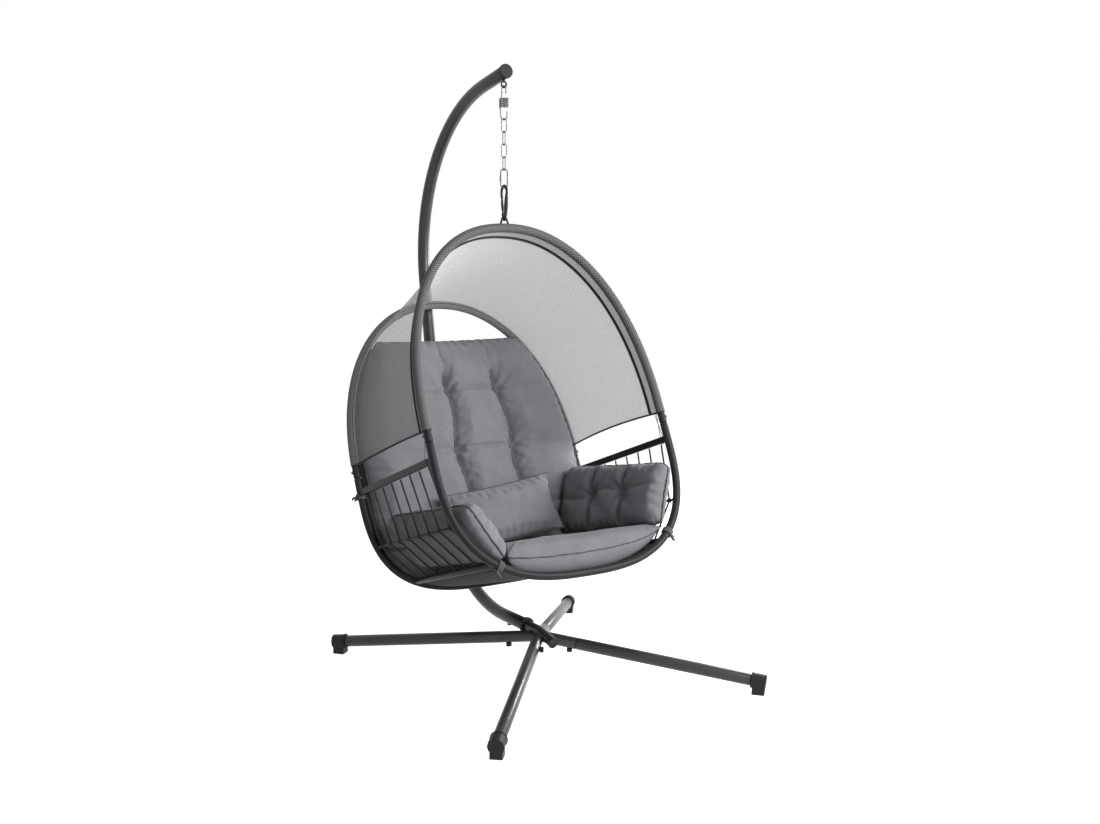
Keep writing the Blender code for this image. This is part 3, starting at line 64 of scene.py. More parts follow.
POLE_LEAN = math.radians(9)
POLE_STRAIGHT = 0.75
POLE_UPPER_BEND = 0.5605
POLE_TIP_RISE = math.radians(11)
POLE_TIP_RUN = 0.1375
POLE_JOINT_UP = 0.27

# Layout of the suspension, as in the part's source
HANG_Y = 0.08565
EYE_LOW = 1.87388
EYE_RING = 0.009
EYE_WIRE = 0.003
EYE_SHANK_RADIUS = 0.005
POLE_UNDERSIDE = 1.89888
HOOK_TOP = 1.87923
COIL_TOP = 1.84093
COIL_LOW = 1.81013
HOOK_LOW = 1.77193
SPRING_WIRE = 0.002
SPRING_RADIUS = 0.0143
SPRING_TURNS = 6
HOOK_RADIUS = 0.012
HOOK_TAIL = 0.014
UPPER_HOOK_TURN = math.radians(90)
LOWER_HOOK_TURN = math.radians(114)
CHAIN_TOP = 1.77603
CHAIN_PITCH = 0.04
CHAIN_LENGTH = 0.04385
CHAIN_HALF_WIDTH = 0.00875
CHAIN_WIRE = 0.00175
CHAIN_TURN = math.radians(-6)
QUICK_TOP = 1.61678
QUICK_LOW = 1.55578
QUICK_HALF_WIDTH = 0.012
QUICK_WIRE = 0.0025
QUICK_GAP = 0.003
SNAP_TOP = 1.56313
SNAP_LOW = 1.45443
SNAP_TOP_RADIUS = 0.02
SNAP_LOW_RADIUS = 0.0085
SNAP_WIRE = 0.0045
SNAP_GATE_LENGTH = 0.044
SNAP_GATE_RADIUS = 0.0036
SNAP_GATE_HEEL = 0.0009
SNAP_GATE_HEEL_SHARE = 0.4
HOOP_EYE_TOP = 1.46278
HOOP_EYE_BEND = 0.0095
HOOP_EYE_HALF_WIDTH = 0.015
HOOP_EYE_WIRE = 0.0035
HOOP_TOP = 1.42828

# Layout of the basket, as in the part's source
HOOP_RADIUS = 0.0125
HOOP_HALF_WIDTH = 0.4305
HOOP_LEAN = math.radians(25)
# Each hoop: the height and power of its arch, its straight side, the height and power of its base
FRONT_HOOP = (0.65, 2.2, 0.10, 0.3965, 2.75)
BACK_HOOP = (0.593, 2.13, 0.04, 0.386, 3.3)
BASKET_DEPTH = 0.5506
BACK_DROP = 0.0325
ARM_BAR_BACK_Z = 0.565
ARM_BAR_FRONT_Z = 0.745
ARM_BAR_THICK = 0.012
ARM_BAR_TALL = 0.022
RAIL_X = 0.30
RAIL_RADIUS = 0.01
LACE_BACK_Z = 0.395
LACE_FRONT_Z = 0.56
LACE_RADIUS = 0.004
CORD_COUNT = 8
CORD_RADIUS = 0.003
CORD_END_SPACE = 0.07
CANOPY_FRONT_HEM_Z = 0.827
CANOPY_BACK_HEM_Z = 0.65
CANOPY_SAG = 0.012
CANOPY_HEM_RISE = 0.006
BACK_SLING_TOP = 0.16
BACK_SLING_LOW = 0.995
BACK_SLING_BULGE = 0.012

# Layout of the cushions, as in the part's source
BACK_PAD_TOP = 0.148
BACK_PAD_LENGTH = 0.72
BACK_PAD_TOP_INSET = 0.1525
BACK_PAD_SIDE_INSET = 0.02
BACK_PAD_FRONT = 0.0785
BACK_PAD_REAR = 0.0385
BACK_PAD_LEVEL = 0.03
BACK_PAD_END_BOW = 0.015
BACK_PAD_CHANNELS = (-0.2, 0.32)
BACK_PAD_TUFTS = (0.43, -0.17, -0.76)
SEAT_PAD_LEFT_INSET = 0.1955
SEAT_PAD_RIGHT_INSET = 0.1035
SEAT_PAD_START = 0.045
SEAT_PAD_END = 0.88
SEAT_PAD_TALL = 0.12
SEAT_PAD_LIFT = 0.0021
ARM_PAD_LENGTH = 0.51
ARM_PAD_TALL = 0.212
ARM_PAD_HALF = 0.045
ARM_PAD_REAR = 0.037
ARM_PAD_SIDE_BOW = 0.06
ARM_PAD_TUFTS = (-0.3, 0.32)
ARM_PAD_TUFT_LEVEL = 0.05
# Each arm pad: its middle from the hub, its rise to the front, its toe and its lean outward
ARM_PADS = {
    "left": ((-0.3345, 0.01, 0.4835), math.radians(13.5), math.radians(2.5), math.radians(31.5)),
    "right": ((0.3275, 0.0465, 0.544), math.radians(9), math.radians(5), math.radians(18)),
}
LUMBAR_WIDTH = 0.42
LUMBAR_TALL = 0.2
LUMBAR_HALF = 0.05
LUMBAR_NEST = 0.011
LUMBAR_DOWN = 0.8165
LUMBAR_ROLL = math.radians(6)
LUMBAR_EDGE_BOW = 0.07

# Fineness of the shapes
ARC_STEP = math.radians(4)
LINK_STEP = math.radians(10)
HOOK_STEP = math.radians(9)
SNAP_STEP = math.radians(8)
MARK_STEP = math.radians(20)
KNOT_STEP = math.radians(30)
SPRING_STEPS = 36
HOOP_STEPS = 240
ARCH_POINTS = 120
BASE_POINTS = 100
SLEEVE_POINTS = 160
CANOPY_POINTS = 401
CANOPY_COLUMNS = 200
CANOPY_ROWS = 36
SLING_COLUMNS = 40
SEAT_SLING_ROWS = 24
BACK_SLING_ROWS = 40
TUBE_SIDES = 32
HOOP_SIDES = 24
RAIL_SIDES = 20
SNAP_SIDES = 16
LINK_SIDES = 14
WIRE_SIDES = 12
LACE_SIDES = 10
CORD_SIDES = 8
STITCH_SIDES = 6

# Details of the metal and the cords that only the looks have
LEG_END_INSET = 0.0055
CAP_RIM_SETBACK = 0.003
CAP_RIM_WIRE = 0.0014
CAP_MARK_RADIUS = 0.0035
CAP_MARK_WIRE = 0.0009
# How wide edges are eased and from which angle, and what counts as flat and as one point
LINK_SLEEVE_EASE = 0.0005
BAR_EASE = 0.0006
FITTING_EASE = 0.0012
KNOB_EASE = 0.0014
FOOT_EASE = 0.0018
EASE_ANGLE = math.radians(38)
FLAT_ANGLE = math.radians(1)
SAME_POINT = 0.00002
# Softened ends: their length in radii, and steps as shares of that length and of the radius
END_SOFTNESS = 0.25
END_PROFILE = ((0.0, 0.8), (0.3, 0.93), (1.0, 1.0))
# The weld on a chain link: heights from its middle and shares of its radius
WELD_PROFILE = ((-0.0022, 0.8), (-0.001, 1.0), (0.001, 1.0), (0.0022, 0.8))
WELD_SWELL = 1.18
EYE_NECK_TAPER = 0.004
EYE_NECK_END = 0.0013
EYE_NECK_FACTORS = (0.75, 0.85, 1.0)
SNAP_NOSE_GAP = 0.00035
SNAP_SPINE_SWELL = 0.5
SNAP_GATE_SWELL = 0.35
SNAP_GATE_TAPER = 0.0036
SNAP_GATE_NOSE = 0.003
SNAP_GATE_NOSE_SHARE = 0.85
SNAP_SWELL_STEPS = 12
HOOP_EYE_SPREAD = 0.96
RAIL_TUCK = 0.95
LACE_TUCK = 0.9
CORD_BAR_TUCK = 0.62
CORD_RAIL_TUCK = 0.2
CORD_CORNER = 0.012
WRAP_STEPS = 14
WRAP_PITCH = 2.05
CORD_WRAP_SEAT = 0.5
CORD_WRAP_SHARE = 0.8
CORD_WRAP_TURNS = 2

# Details of the cloth that only the looks have
MESH_PITCH = 0.006
WEAVE_PITCH = 0.0011
SLING_WEAVE_PITCH = 0.0018
BRAID_PITCH = 0.0022
CANOPY_EDGE = 0.001
CANOPY_SHEET = 0.0012
CANOPY_SLEEVE_RADIUS = 0.0146
BAND_ROWS = 9
BAND_STEP = 0.0075
BAND_INSET = 0.002
BAND_SHEET = 0.0008
# Each hem: its radius and how flat it is
FRONT_HEM = (0.0056, 0.9)
SIDE_HEM = (0.0042, 0.75)
BACK_HEM = (0.002, 0.6)
SLING_EDGE = 0.001
SEAT_SLING_EDGE = 0.002
# The seat's span between the hoops, and the sling's cut length
SEAT_SLING_SPAN = 0.62
SEAT_SLING_SHEET = 0.002
BACK_SLING_SHEET = 0.0016

# Details of the cushions, finer than in the part's source
TINY = 1e-9
PUFF_FRAMES = 20
PUFF_SETTINGS = {
    "quality": 6,
    "use_pressure": True,
    "uniform_pressure_force": 4.0,
    "pin_stiffness": 1.0,
    "tension_stiffness": 12.0,
    "compression_stiffness": 12.0,
    "bending_stiffness": 0.25,
}
PAD_SLACK = 0.003
SEWN_WIDTH = 0.022
STITCH_RADIUS = 0.0015
STITCH_STEPS = 70
STITCH_LIFT = 0.002
WELT_RADIUS = 0.0022
WELT_RIPPLE = 0.2
WELT_STEP = 1.9
WELT_PITCH = 70.0
WELT_WOBBLE = 0.0022
WELT_SEED = 1
# Each cushion: its columns and rows, how far it swells, how much its cloth grows, its fill and its welt
FILLINGS = {
    "back_cushion": (136, 110, 0.008, 0.04, 0.6, WELT_RADIUS),
    "seat_cushion": (80, 66, 0.005, 0.02, 0.75, STITCH_RADIUS),
    "arm_cushion_left": (92, 40, 0.008, 0.06, 0.65, WELT_RADIUS),
    "arm_cushion_right": (92, 40, 0.008, 0.06, 0.65, WELT_RADIUS),
    "lumbar_pillow": (72, 40, 0.005, 0.04, 0.6, STITCH_RADIUS),
}
PINCH_FOLDS = 5
PINCH_START = 0.25
GATHER_END = 0.06
GATHER_SIDE = 0.09
GATHER_DRIFT = 2
GATHER_WAVES = 3
# Roughness, lacunarity and octaves of the rumples
RUMPLE = (1.0, 2.0, 3)
CHANNEL_WANDER = 0.02
CHANNEL_WAVES = 8.0
CHANNEL_FADE = 0.2
# Gathers are a height and their waves across and along, rumples a fineness and a depth
BACK_PAD_GATHER = (0.006, 50, 64)
BACK_PAD_RUMPLE = (8.0, 0.004)
BACK_PAD_SQUARENESS = 4
BACK_PAD_CHANNEL_TOP = 0.72
BACK_PAD_CHANNEL_END = -0.9
BACK_PAD_CHANNEL_WIDTH = 0.04
BACK_PAD_CHANNEL_SINK = 0.5
BACK_PAD_TUFT_WIDTH = 0.07
BACK_PAD_TUFT_HEIGHT = 0.05
BACK_PAD_TUFT_SINK = 0.52
BACK_PAD_TUFT_HOLD = 0.04
BACK_PAD_REAR_HOLD = 0.6
BACK_PAD_CREASE_HEIGHT = 0.02
BACK_PAD_CREASE_SINK = 0.2
BACK_PAD_CREASE_POWER = 4
BACK_PAD_FOLD = 0.004
BACK_PAD_FOLD_REACH = 0.05
SEAT_PAD_GATHER = (0.0015, 70, 60)
SEAT_PAD_RUMPLE = (7.0, 0.005)
SEAT_PAD_SQUARENESS = 12
SEAT_PAD_TOP_SQUARENESS = 16
SEAT_PAD_LEFT_FILL = 0.014
# The hollow's depth, and its middle and width across and along
SEAT_PAD_HOLLOW = 0.004
SEAT_PAD_HOLLOW_ACROSS = (0.1, 0.6)
SEAT_PAD_HOLLOW_ALONG = (0.2, 0.7)
ARM_PAD_GATHER = (0.006, 44, 15)
ARM_PAD_RUMPLE = (16.0, 0.003)
ARM_PAD_SAG = {"left": 0.0, "right": 0.045}
ARM_PAD_END_BOW = 0.02
ARM_PAD_CORNER_POWER = 8
ARM_PAD_CORNER_END = 0.06
ARM_PAD_CORNER_SIDE = 0.14
ARM_PAD_END_SQUARENESS = 12
ARM_PAD_SIDE_SQUARENESS = 4
ARM_PAD_TUFT_WIDTH = 0.13
ARM_PAD_TUFT_HEIGHT = 0.26
ARM_PAD_TUFT_SINK = 0.7
ARM_PAD_TUFT_HOLD = (0.05, 0.12)
ARM_PAD_REAR_HOLD = 0.7
ARM_PAD_CHANNEL_WIDTH = 0.04
ARM_PAD_CHANNEL_SINK = 0.42
ARM_PAD_CHANNEL_POWER = 6
ARM_PAD_CREASE_HEIGHT = 0.09
ARM_PAD_CREASE_SINK = 0.34
ARM_PAD_CREASE_POWER = 4
ARM_PAD_FOLD_RISE = 0.3
ARM_PAD_FOLD_ARCH = 0.12
ARM_PAD_FOLD = 0.009
ARM_PAD_FOLD_REACH = 0.045
LUMBAR_GATHER = (0.005, 40, 18)
LUMBAR_RUMPLE = (12.0, 0.003)
LUMBAR_SQUARENESS = 3

# Ties and strings that only the looks have
TIE_RADIUS = 0.0027
TIE_TURNS = 3
TIE_STEP = 0.01
TIE_FRONT_LEFT = -1.0899
TIE_FRONT_RIGHT = -1.0606
TIE_BACK_LEVEL = -0.6771
# The knot in shares of the tie's radius
KNOT_OUT = 2
KNOT_RING = 1.5
KNOT_WIRE = 1.3
# Loops and ends: their reach, and shares of it
TIE_LOOP = 0.02
LOOP_DROP = 0.45
LOOP_OUT = 0.3
LOOP_OPENING = 0.3
LOOP_FLAT = 0.6
LOOP_STEPS = 16
TIE_END = 0.02
END_SIDE = 0.4
END_OUT = 0.3
END_SPREAD = 0.2
END_DROP = 0.5
END_BEND = 0.4
END_STEPS = 12
STRING_WIDTH = 0.0022
STRING_BAR_SPOT = 0.03
STRING_CORNER = 0.022
STRING_INSET = 0.006
STRING_LEAD = 2
STRING_LEG_STEPS = 8
STRING_LOOP_STEPS = 6

# Camera, light and floor
SENSOR_WIDTH = 36.0
CAMERA_PLACE = (-2.043, -3.257 + HUB_Y, 1.3036)
CAMERA_TURN = math.radians(-32.107)
CAMERA_PITCH = math.radians(6.761)
FOCAL_PIXELS = 1226.25
FRAME_WIDTH = 1100
CENTRE_X = 539.12
WHITE = (1, 1, 1, 1)
WORLD_LIGHT = 0.24
FLOOR_REACH = 14.0
FLOOR_LEVEL = -0.0005
FLOOR_COLOUR = (0.6, 0.6, 0.6)
FLOOR_ROUGHNESS = 0.9
FLOOR_GLOW = 0.88
# Each lamp: its place, its size and its power
LAMPS = {
    "key": ((2.3, -3.0, 2.0), 1.6, 138),
    "rim": ((3.2, 1.0, 1.8), 1.0, 100),
    "front": ((0.6, -3.4, 2.4), 2.0, 76),
}
LAMP_TARGET = Vector((0, 0, 0.9))

# Directions
X_AXIS = Vector((1, 0, 0))
Y_AXIS = Vector((0, 1, 0))
Z_AXIS = Vector((0, 0, 1))
# A path that starts steeper than this takes its first normal from X
STEEP = 0.9
PLANE_UP = Vector((0, math.sin(HOOP_LEAN), math.cos(HOOP_LEAN)))
PLANE_BACK = Vector((0, math.cos(HOOP_LEAN), -math.sin(HOOP_LEAN)))
QUARTER_TURN = math.pi / 2
FULL_TURN = 2 * math.pi


# Materials

# The wave texture runs through 20 radians for each unit of its scale
WAVE_RADIANS = 20


class Tree:
    """A node tree that is put together node by node."""

    def __init__(self, tree):
        self.tree = tree

    def feed(self, socket, value):
        """Link another node's output to a socket, or set the socket's own value."""
        if isinstance(value, bpy.types.NodeSocket):
            self.tree.links.new(value, socket)
        else:
            socket.default_value = value

    def node(self, kind, inputs, **settings):
        made = self.tree.nodes.new(kind)
        for key, value in settings.items():
            setattr(made, key, value)
        for key, value in inputs.items():
            self.feed(made.inputs[key], value)
        return made

    def math(self, operation, first, second):
        return self.node("ShaderNodeMath", {0: first, 1: second}, operation=operation).outputs[0]

    def seen(self):
        """1 for what is seen directly, mirrored or through cloth, and 0 for what only lights."""
        rays = self.node("ShaderNodeLightPath", {}).outputs
        either = self.math("MAXIMUM", rays["Is Camera Ray"], rays["Is Glossy Ray"])
        return self.math("MAXIMUM", either, rays["Is Transmission Ray"])


class Shader(Tree):
    """A principled material."""

    def __init__(self, name, colour, roughness):
        self.material = bpy.data.materials.new(name)
        self.material.use_nodes = True
        super().__init__(self.material.node_tree)
        self.bsdf = self.tree.nodes["Principled BSDF"]
        self.put("Base Color", (*colour, 1))
        self.put("Roughness", roughness)

    def put(self, name, value):
        self.feed(self.bsdf.inputs[name], value)

    def coordinates(self, kind="Object"):
        return self.node("ShaderNodeTexCoord", {}).outputs[kind]

    def noise(self, place, scale, detail=4.0, rough=0.6):
        inputs = {"Vector": place, "Scale": scale, "Detail": detail, "Roughness": rough}
        return self.node("ShaderNodeTexNoise", inputs).outputs["Fac"]

    def wave(self, place, pitch, direction):
        inputs = {"Vector": place, "Scale": FULL_TURN / (WAVE_RADIANS * pitch)}
        return self.node("ShaderNodeTexWave", inputs, bands_direction=direction).outputs["Fac"]

    def ramp(self, factor, low, high):
        """Maps a factor from 0..1 to low..high."""
        inputs = {"Value": factor, "To Min": low, "To Max": high}
        return self.node("ShaderNodeMapRange", inputs).outputs["Result"]

    def tint(self, factor, colour, *stops):
        """Colours by a factor. Each stop is a value of the factor and a share of the colour."""
        made = self.node("ShaderNodeValToRGB", {"Fac": factor})
        band = made.color_ramp.elements
        while len(band) < len(stops):
            band.new(0.5)
        for element, (position, share) in zip(band, stops):
            element.position = position
            element.color = (*[min(1.0, part * share) for part in colour], 1)
        self.put("Base Color", made.outputs["Color"])

    def bump(self, height, strength, distance):
        inputs = {"Height": height, "Strength": strength, "Distance": distance}
        self.put("Normal", self.node("ShaderNodeBump", inputs).outputs["Normal"])


def powder_coat(name, colour, roughness, gloss):
    """Satin powder coat: an orange-peel surface with slight tone changes."""
    made = Shader(name, colour, roughness)
    place = made.coordinates()
    made.tint(made.noise(place, scale=9.0), colour, (0.3, 0.86), (0.7, 1.14))
    made.put("Roughness", made.ramp(made.noise(place, scale=60.0), roughness - 0.06, roughness + 0.1))
    made.bump(made.noise(place, scale=900.0, detail=2.0), strength=0.12, distance=0.0004)
    made.put("Specular IOR Level", gloss)
    return made.material


def moulded_plastic(name, colour):
    made = Shader(name, colour, roughness=0.5)
    place = made.coordinates()
    made.tint(made.noise(place, scale=30.0), colour, (0.3, 0.8), (0.75, 1.3))
    made.put("Roughness", made.ramp(made.noise(place, scale=120.0), low=0.42, high=0.62))
    made.bump(made.noise(place, scale=1600.0, detail=2.0), strength=0.2, distance=0.0003)
    made.put("Specular IOR Level", 0.25)
    return made.material


def plated_steel(name, colour):
    made = Shader(name, colour, roughness=0.5)
    made.put("Metallic", 1.0)
    place = made.coordinates()
    made.tint(made.noise(place, scale=130.0), colour, (0.25, 0.7), (0.6, 1.0), (0.9, 1.3))
    made.put("Roughness", made.ramp(made.noise(place, scale=300.0), low=0.42, high=0.62))
    made.bump(made.noise(place, scale=700.0, detail=3.0), strength=0.1, distance=0.0003)
    return made.material


def woven_cloth(name, colour, pitch=WEAVE_PITCH):
    """Plain weave: two sets of yarn, seen as fine bands in the bump, with a melange tone."""
    made = Shader(name, colour, roughness=0.9)
    place = made.coordinates()
    tone = made.noise(place, scale=14.0, detail=5.0, rough=0.65)
    yarn = made.noise(place, scale=700.0, detail=3.0, rough=0.7)
    both = made.math("ADD", made.math("MULTIPLY", tone, 0.55), made.math("MULTIPLY", yarn, 0.45))
    made.tint(both, colour, (0.3, 0.82), (0.7, 1.18))
    warp = made.wave(place, pitch, 'X')
    weft = made.wave(place, pitch, 'Z')
    depth = made.wave(place, pitch, 'Y')
    weave = made.math("MAXIMUM", made.math("MAXIMUM", warp, weft), depth)
    made.bump(weave, strength=0.3, distance=0.0005)
    made.put("Sheen Weight", 0.12)
    made.put("Sheen Roughness", 0.5)
    made.put("Specular IOR Level", 0.2)
    return made.material


def open_mesh(name, colour, thin, dense, ground):
    """Coated mesh: yarn that crosses at an angle with holes between, laid out in the cloth's own metres.
    The colour between the knots is darker, by the share that ground gives."""
    made = Shader(name, colour, roughness=0.7)
    inputs = {"Vector": made.coordinates("UV"), "Rotation": (0, 0, math.radians(45))}
    place = made.node("ShaderNodeMapping", inputs).outputs["Vector"]
    yarn = made.math("MULTIPLY", made.wave(place, MESH_PITCH, 'X'), made.wave(place, MESH_PITCH, 'Y'))
    made.tint(yarn, colour, (0.1, ground), (0.6, 1.0))
    made.put("Alpha", made.ramp(yarn, thin, dense))
    made.bump(yarn, strength=0.4, distance=0.0006)
    made.put("Specular IOR Level", 0.3)
    return made.material


def braided_cord(name, colour):
    made = Shader(name, colour, roughness=0.8)
    twist = made.wave(made.coordinates(), BRAID_PITCH, 'DIAGONAL')
    made.tint(twist, colour, (0.2, 0.6), (0.8, 1.5))
    made.bump(twist, strength=0.5, distance=0.0008)
    return made.material


# Each finish: its slot and its material
GREY_PAINT = ("grey_paint", powder_coat("grey_paint_look", (0.032, 0.034, 0.036), 0.32, 0.4))
DARK_PAINT = ("dark_paint", powder_coat("dark_paint_look", (0.017, 0.018, 0.02), 0.42, 0.16))
PLASTIC = ("black_plastic", moulded_plastic("black_plastic_look", (0.012, 0.012, 0.013)))
BLACK_STEEL = ("black_steel", powder_coat("black_steel_look", (0.01, 0.01, 0.011), 0.4, 0.3))
ZINC = ("zinc", plated_steel("zinc_look", (0.17, 0.173, 0.182)))
CUSHION = ("cushion_cloth", woven_cloth("cushion_cloth_look", (0.18, 0.185, 0.196)))
# Darker copy of the cushion cloth for welts and stitching: partly the seams' own colour, partly painted
# shade of the creases they sit in
SEAM_AND_CREASE_SHADE = ("cushion_cloth", woven_cloth("seam_and_painted_crease_shade_look", (0.085, 0.087, 0.092)))
SLING = ("dark_cloth", woven_cloth("sling_cloth_look", (0.021, 0.021, 0.022), SLING_WEAVE_PITCH))
# The canopy's two faces are lit and shaded copies of one yarn: the inner face is painted light, standing
# for light shining through the mesh, and the outer face is painted shade
MESH_INNER_PAINTED_LIGHT = ("mesh_cloth", open_mesh("mesh_inner_painted_light_look", (0.86, 0.86, 0.87), 0.26, 0.85, 0.92))
MESH_OUTER_PAINTED_SHADE = ("mesh_cloth", open_mesh("mesh_outer_painted_shade_look", (0.3, 0.3, 0.31), 0.26, 0.85, 0.7))
MESH_BAND = ("mesh_cloth", open_mesh("mesh_band_look", (0.95, 0.95, 0.96), 0.4, 1.0, 0.7))
MESH_BACK = ("mesh_cloth", open_mesh("mesh_back_look", (0.075, 0.075, 0.078), 0.9, 1.0, 0.6))
MESH_SLEEVE = ("mesh_cloth", open_mesh("mesh_sleeve_look", (0.235, 0.235, 0.241), 1.0, 1.0, 0.16))
# The back sleeve is a lighter copy of the front sleeve's mesh: painted light
MESH_SLEEVE_BACK_PAINTED_LIGHT = ("mesh_cloth", open_mesh("mesh_sleeve_back_painted_light_look", (0.4, 0.4, 0.41), 1.0, 1.0, 0.3))
BINDING = ("mesh_cloth", woven_cloth("binding_look", (0.035, 0.035, 0.038)))
CORD = ("cord_black", braided_cord("cord_black_look", (0.014, 0.014, 0.015)))
TIE = ("cushion_cloth", woven_cloth("tie_look", (0.12, 0.122, 0.128)))


# Pieces

def add_object(name, data):
    obj = bpy.data.objects.new(name, data)
    bpy.context.scene.collection.objects.link(obj)
    return obj


def mesh_object(name, shape):
    mesh = bpy.data.meshes.new(name)
    shape.to_mesh(mesh)
    shape.free()
    return add_object(name, mesh)


def closed_object(name, shape):
    bmesh.ops.recalc_face_normals(shape, faces=shape.faces)
    return mesh_object(name, shape)


def place_piece(obj, body, finishes, node=None):
    """Give a piece its finishes, its body if it has only one, and the node that it stands for."""
    obj.data.materials.clear()
    for _, material in finishes:
        obj.data.materials.append(material)
    if body:
        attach(obj, body)
    if node:
        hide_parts(node)
    return obj


# Paths

def mix(a, b, share):
    return a + (b - a) * share


def spread(start, end, count):
    return [mix(start, end, index / count) for index in range(count + 1)]


def arc(centre, first, second, radius, start, end, step=ARC_STEP):
    count = max(2, math.ceil(abs(end - start) / step))
    points = []
    for index in range(count + 1):
        angle = start + (end - start) * index / count
        points.append(centre + first * (radius * math.cos(angle)) + second * (radius * math.sin(angle)))
    return points


def bezier(a, b, c, d, count):
    points = []
    for index in range(count + 1):
        t = index / count
        near = mix(mix(a, b, t), mix(b, c, t), t)
        far = mix(mix(b, c, t), mix(c, d, t), t)
        points.append(mix(near, far, t))
    return points


def lengths_along(points):
    """The length of a path from its start to each of its points."""
    lengths = [0.0]
    for a, b in zip(points, points[1:]):
        lengths.append(lengths[-1] + (b - a).length)
    return lengths


def resample(points, count):
    lengths = lengths_along(points)
    result = []
    segment = 0
    for index in range(count):
        goal = lengths[-1] * index / (count - 1)
        while segment < len(points) - 2 and lengths[segment + 1] < goal:
            segment += 1
        span = lengths[segment + 1] - lengths[segment]
        result.append(mix(points[segment], points[segment + 1], min(1.0, (goal - lengths[segment]) / span)))
    return result


def frames(points, closed):
    """Headings along a path, and normals that turn as little as possible."""
    headings = []
    last = len(points) - 1
    for index in range(len(points)):
        before = points[index - 1] if index or closed else points[index]
        after = points[(index + 1) % len(points)] if index < last or closed else points[index]
        headings.append((after - before).normalized())
    guide = Z_AXIS if abs(headings[0].z) < STEEP else X_AXIS
    normal = (guide - headings[0] * guide.dot(headings[0])).normalized()
    normals = [normal]
    for before, after in zip(headings, headings[1:]):
        normal = before.rotation_difference(after) @ normal
        normals.append((normal - after * normal.dot(after)).normalized())
    return headings, normals


# Tubes and copies of nodes

def add_tube(shape, points, radius, sides=CORD_SIDES, closed=False, factors=None, flat=1.0):
    """Adds a round or, with flat below 1, an oval tube along points, with a cloth map in metres."""
    layer = shape.loops.layers.uv.verify()
    headings, normals = frames(points, closed)
    along = lengths_along(points)
    girth = FULL_TURN * radius / sides
    rings = []
    for index, place in enumerate(points):
        side = headings[index].cross(normals[index])
        reach = radius * (factors[index] if factors else 1.0)
        ring = []
        for step in range(sides):
            angle = FULL_TURN * step / sides
            offset = normals[index] * (math.cos(angle) * flat) + side * math.sin(angle)
            ring.append(shape.verts.new(place + offset * reach))
        rings.append(ring)
    for index in range(len(rings) if closed else len(rings) - 1):
        low, high = rings[index], rings[(index + 1) % len(rings)]
        start, end = along[index], along[min(index + 1, len(along) - 1)]
        for step in range(sides):
            after = (step + 1) % sides
            face = shape.faces.new((low[step], low[after], high[after], high[step]))
            face.smooth = True
            spots = ((step, start), (step + 1, start), (step + 1, end), (step, end))
            for loop, (turn, spot) in zip(face.loops, spots):
                loop[layer].uv = (turn * girth, spot)
    if not closed:
        shape.faces.new(rings[0][::-1])
        shape.faces.new(rings[-1])
    return shape


def add_ring(shape, centre, first, second, radius, wire, sides=CORD_SIDES, step=ARC_STEP):
    path = arc(centre, first, second, radius, 0, FULL_TURN, step)[:-1]
    return add_tube(shape, path, wire, sides=sides, closed=True)


def tube(name, points, radius, sides, **options):
    return closed_object(name, add_tube(bmesh.new(), points, radius, sides, **options))


def rounded_ends(points, radius):
    """The path and radius shares of a bar whose ends are softly rounded."""
    first = (points[1] - points[0]).normalized() * (radius * END_SOFTNESS)
    last = (points[-1] - points[-2]).normalized() * (radius * END_SOFTNESS)
    path = [points[0] + first * place for place, _ in END_PROFILE] + points[1:-1]
    path += [points[-1] - last * place for place, _ in END_PROFILE[::-1]]
    shares = [share for _, share in END_PROFILE]
    return path, shares + [1.0] * (len(points) - 2) + shares[::-1]


def place_bar(node, points, radius, sides, body, finish):
    """A bar with softly rounded ends that stands for a node."""
    path, factors = rounded_ends(points, radius)
    place_piece(tube(node + "_look", path, radius, sides, factors=factors), body, [finish], node)


def place_eased(node, width, body, finish, segments=3):
    """A copy of a rigid node with its edges rounded, which stands for it."""
    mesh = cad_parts[node].data.copy()
    shape = bmesh.new()
    shape.from_mesh(mesh)
    bmesh.ops.remove_doubles(shape, verts=shape.verts, dist=SAME_POINT)
    bmesh.ops.dissolve_limit(shape, angle_limit=FLAT_ANGLE, verts=shape.verts, edges=shape.edges)
    shape.to_mesh(mesh)
    shape.free()
    obj = add_object(node + "_look", mesh)
    edge = obj.modifiers.new("edge", 'BEVEL')
    edge.width = width
    edge.segments = segments
    edge.limit_method = 'ANGLE'
    edge.angle_limit = EASE_ANGLE
    edge.use_clamp_overlap = True
    mesh.shade_smooth()
    mesh.set_sharp_from_angle(angle=EASE_ANGLE)
    place_piece(obj, body, [finish], node)


# Hoop outlines: x across and s up along the leaning plane, from the top of the arch

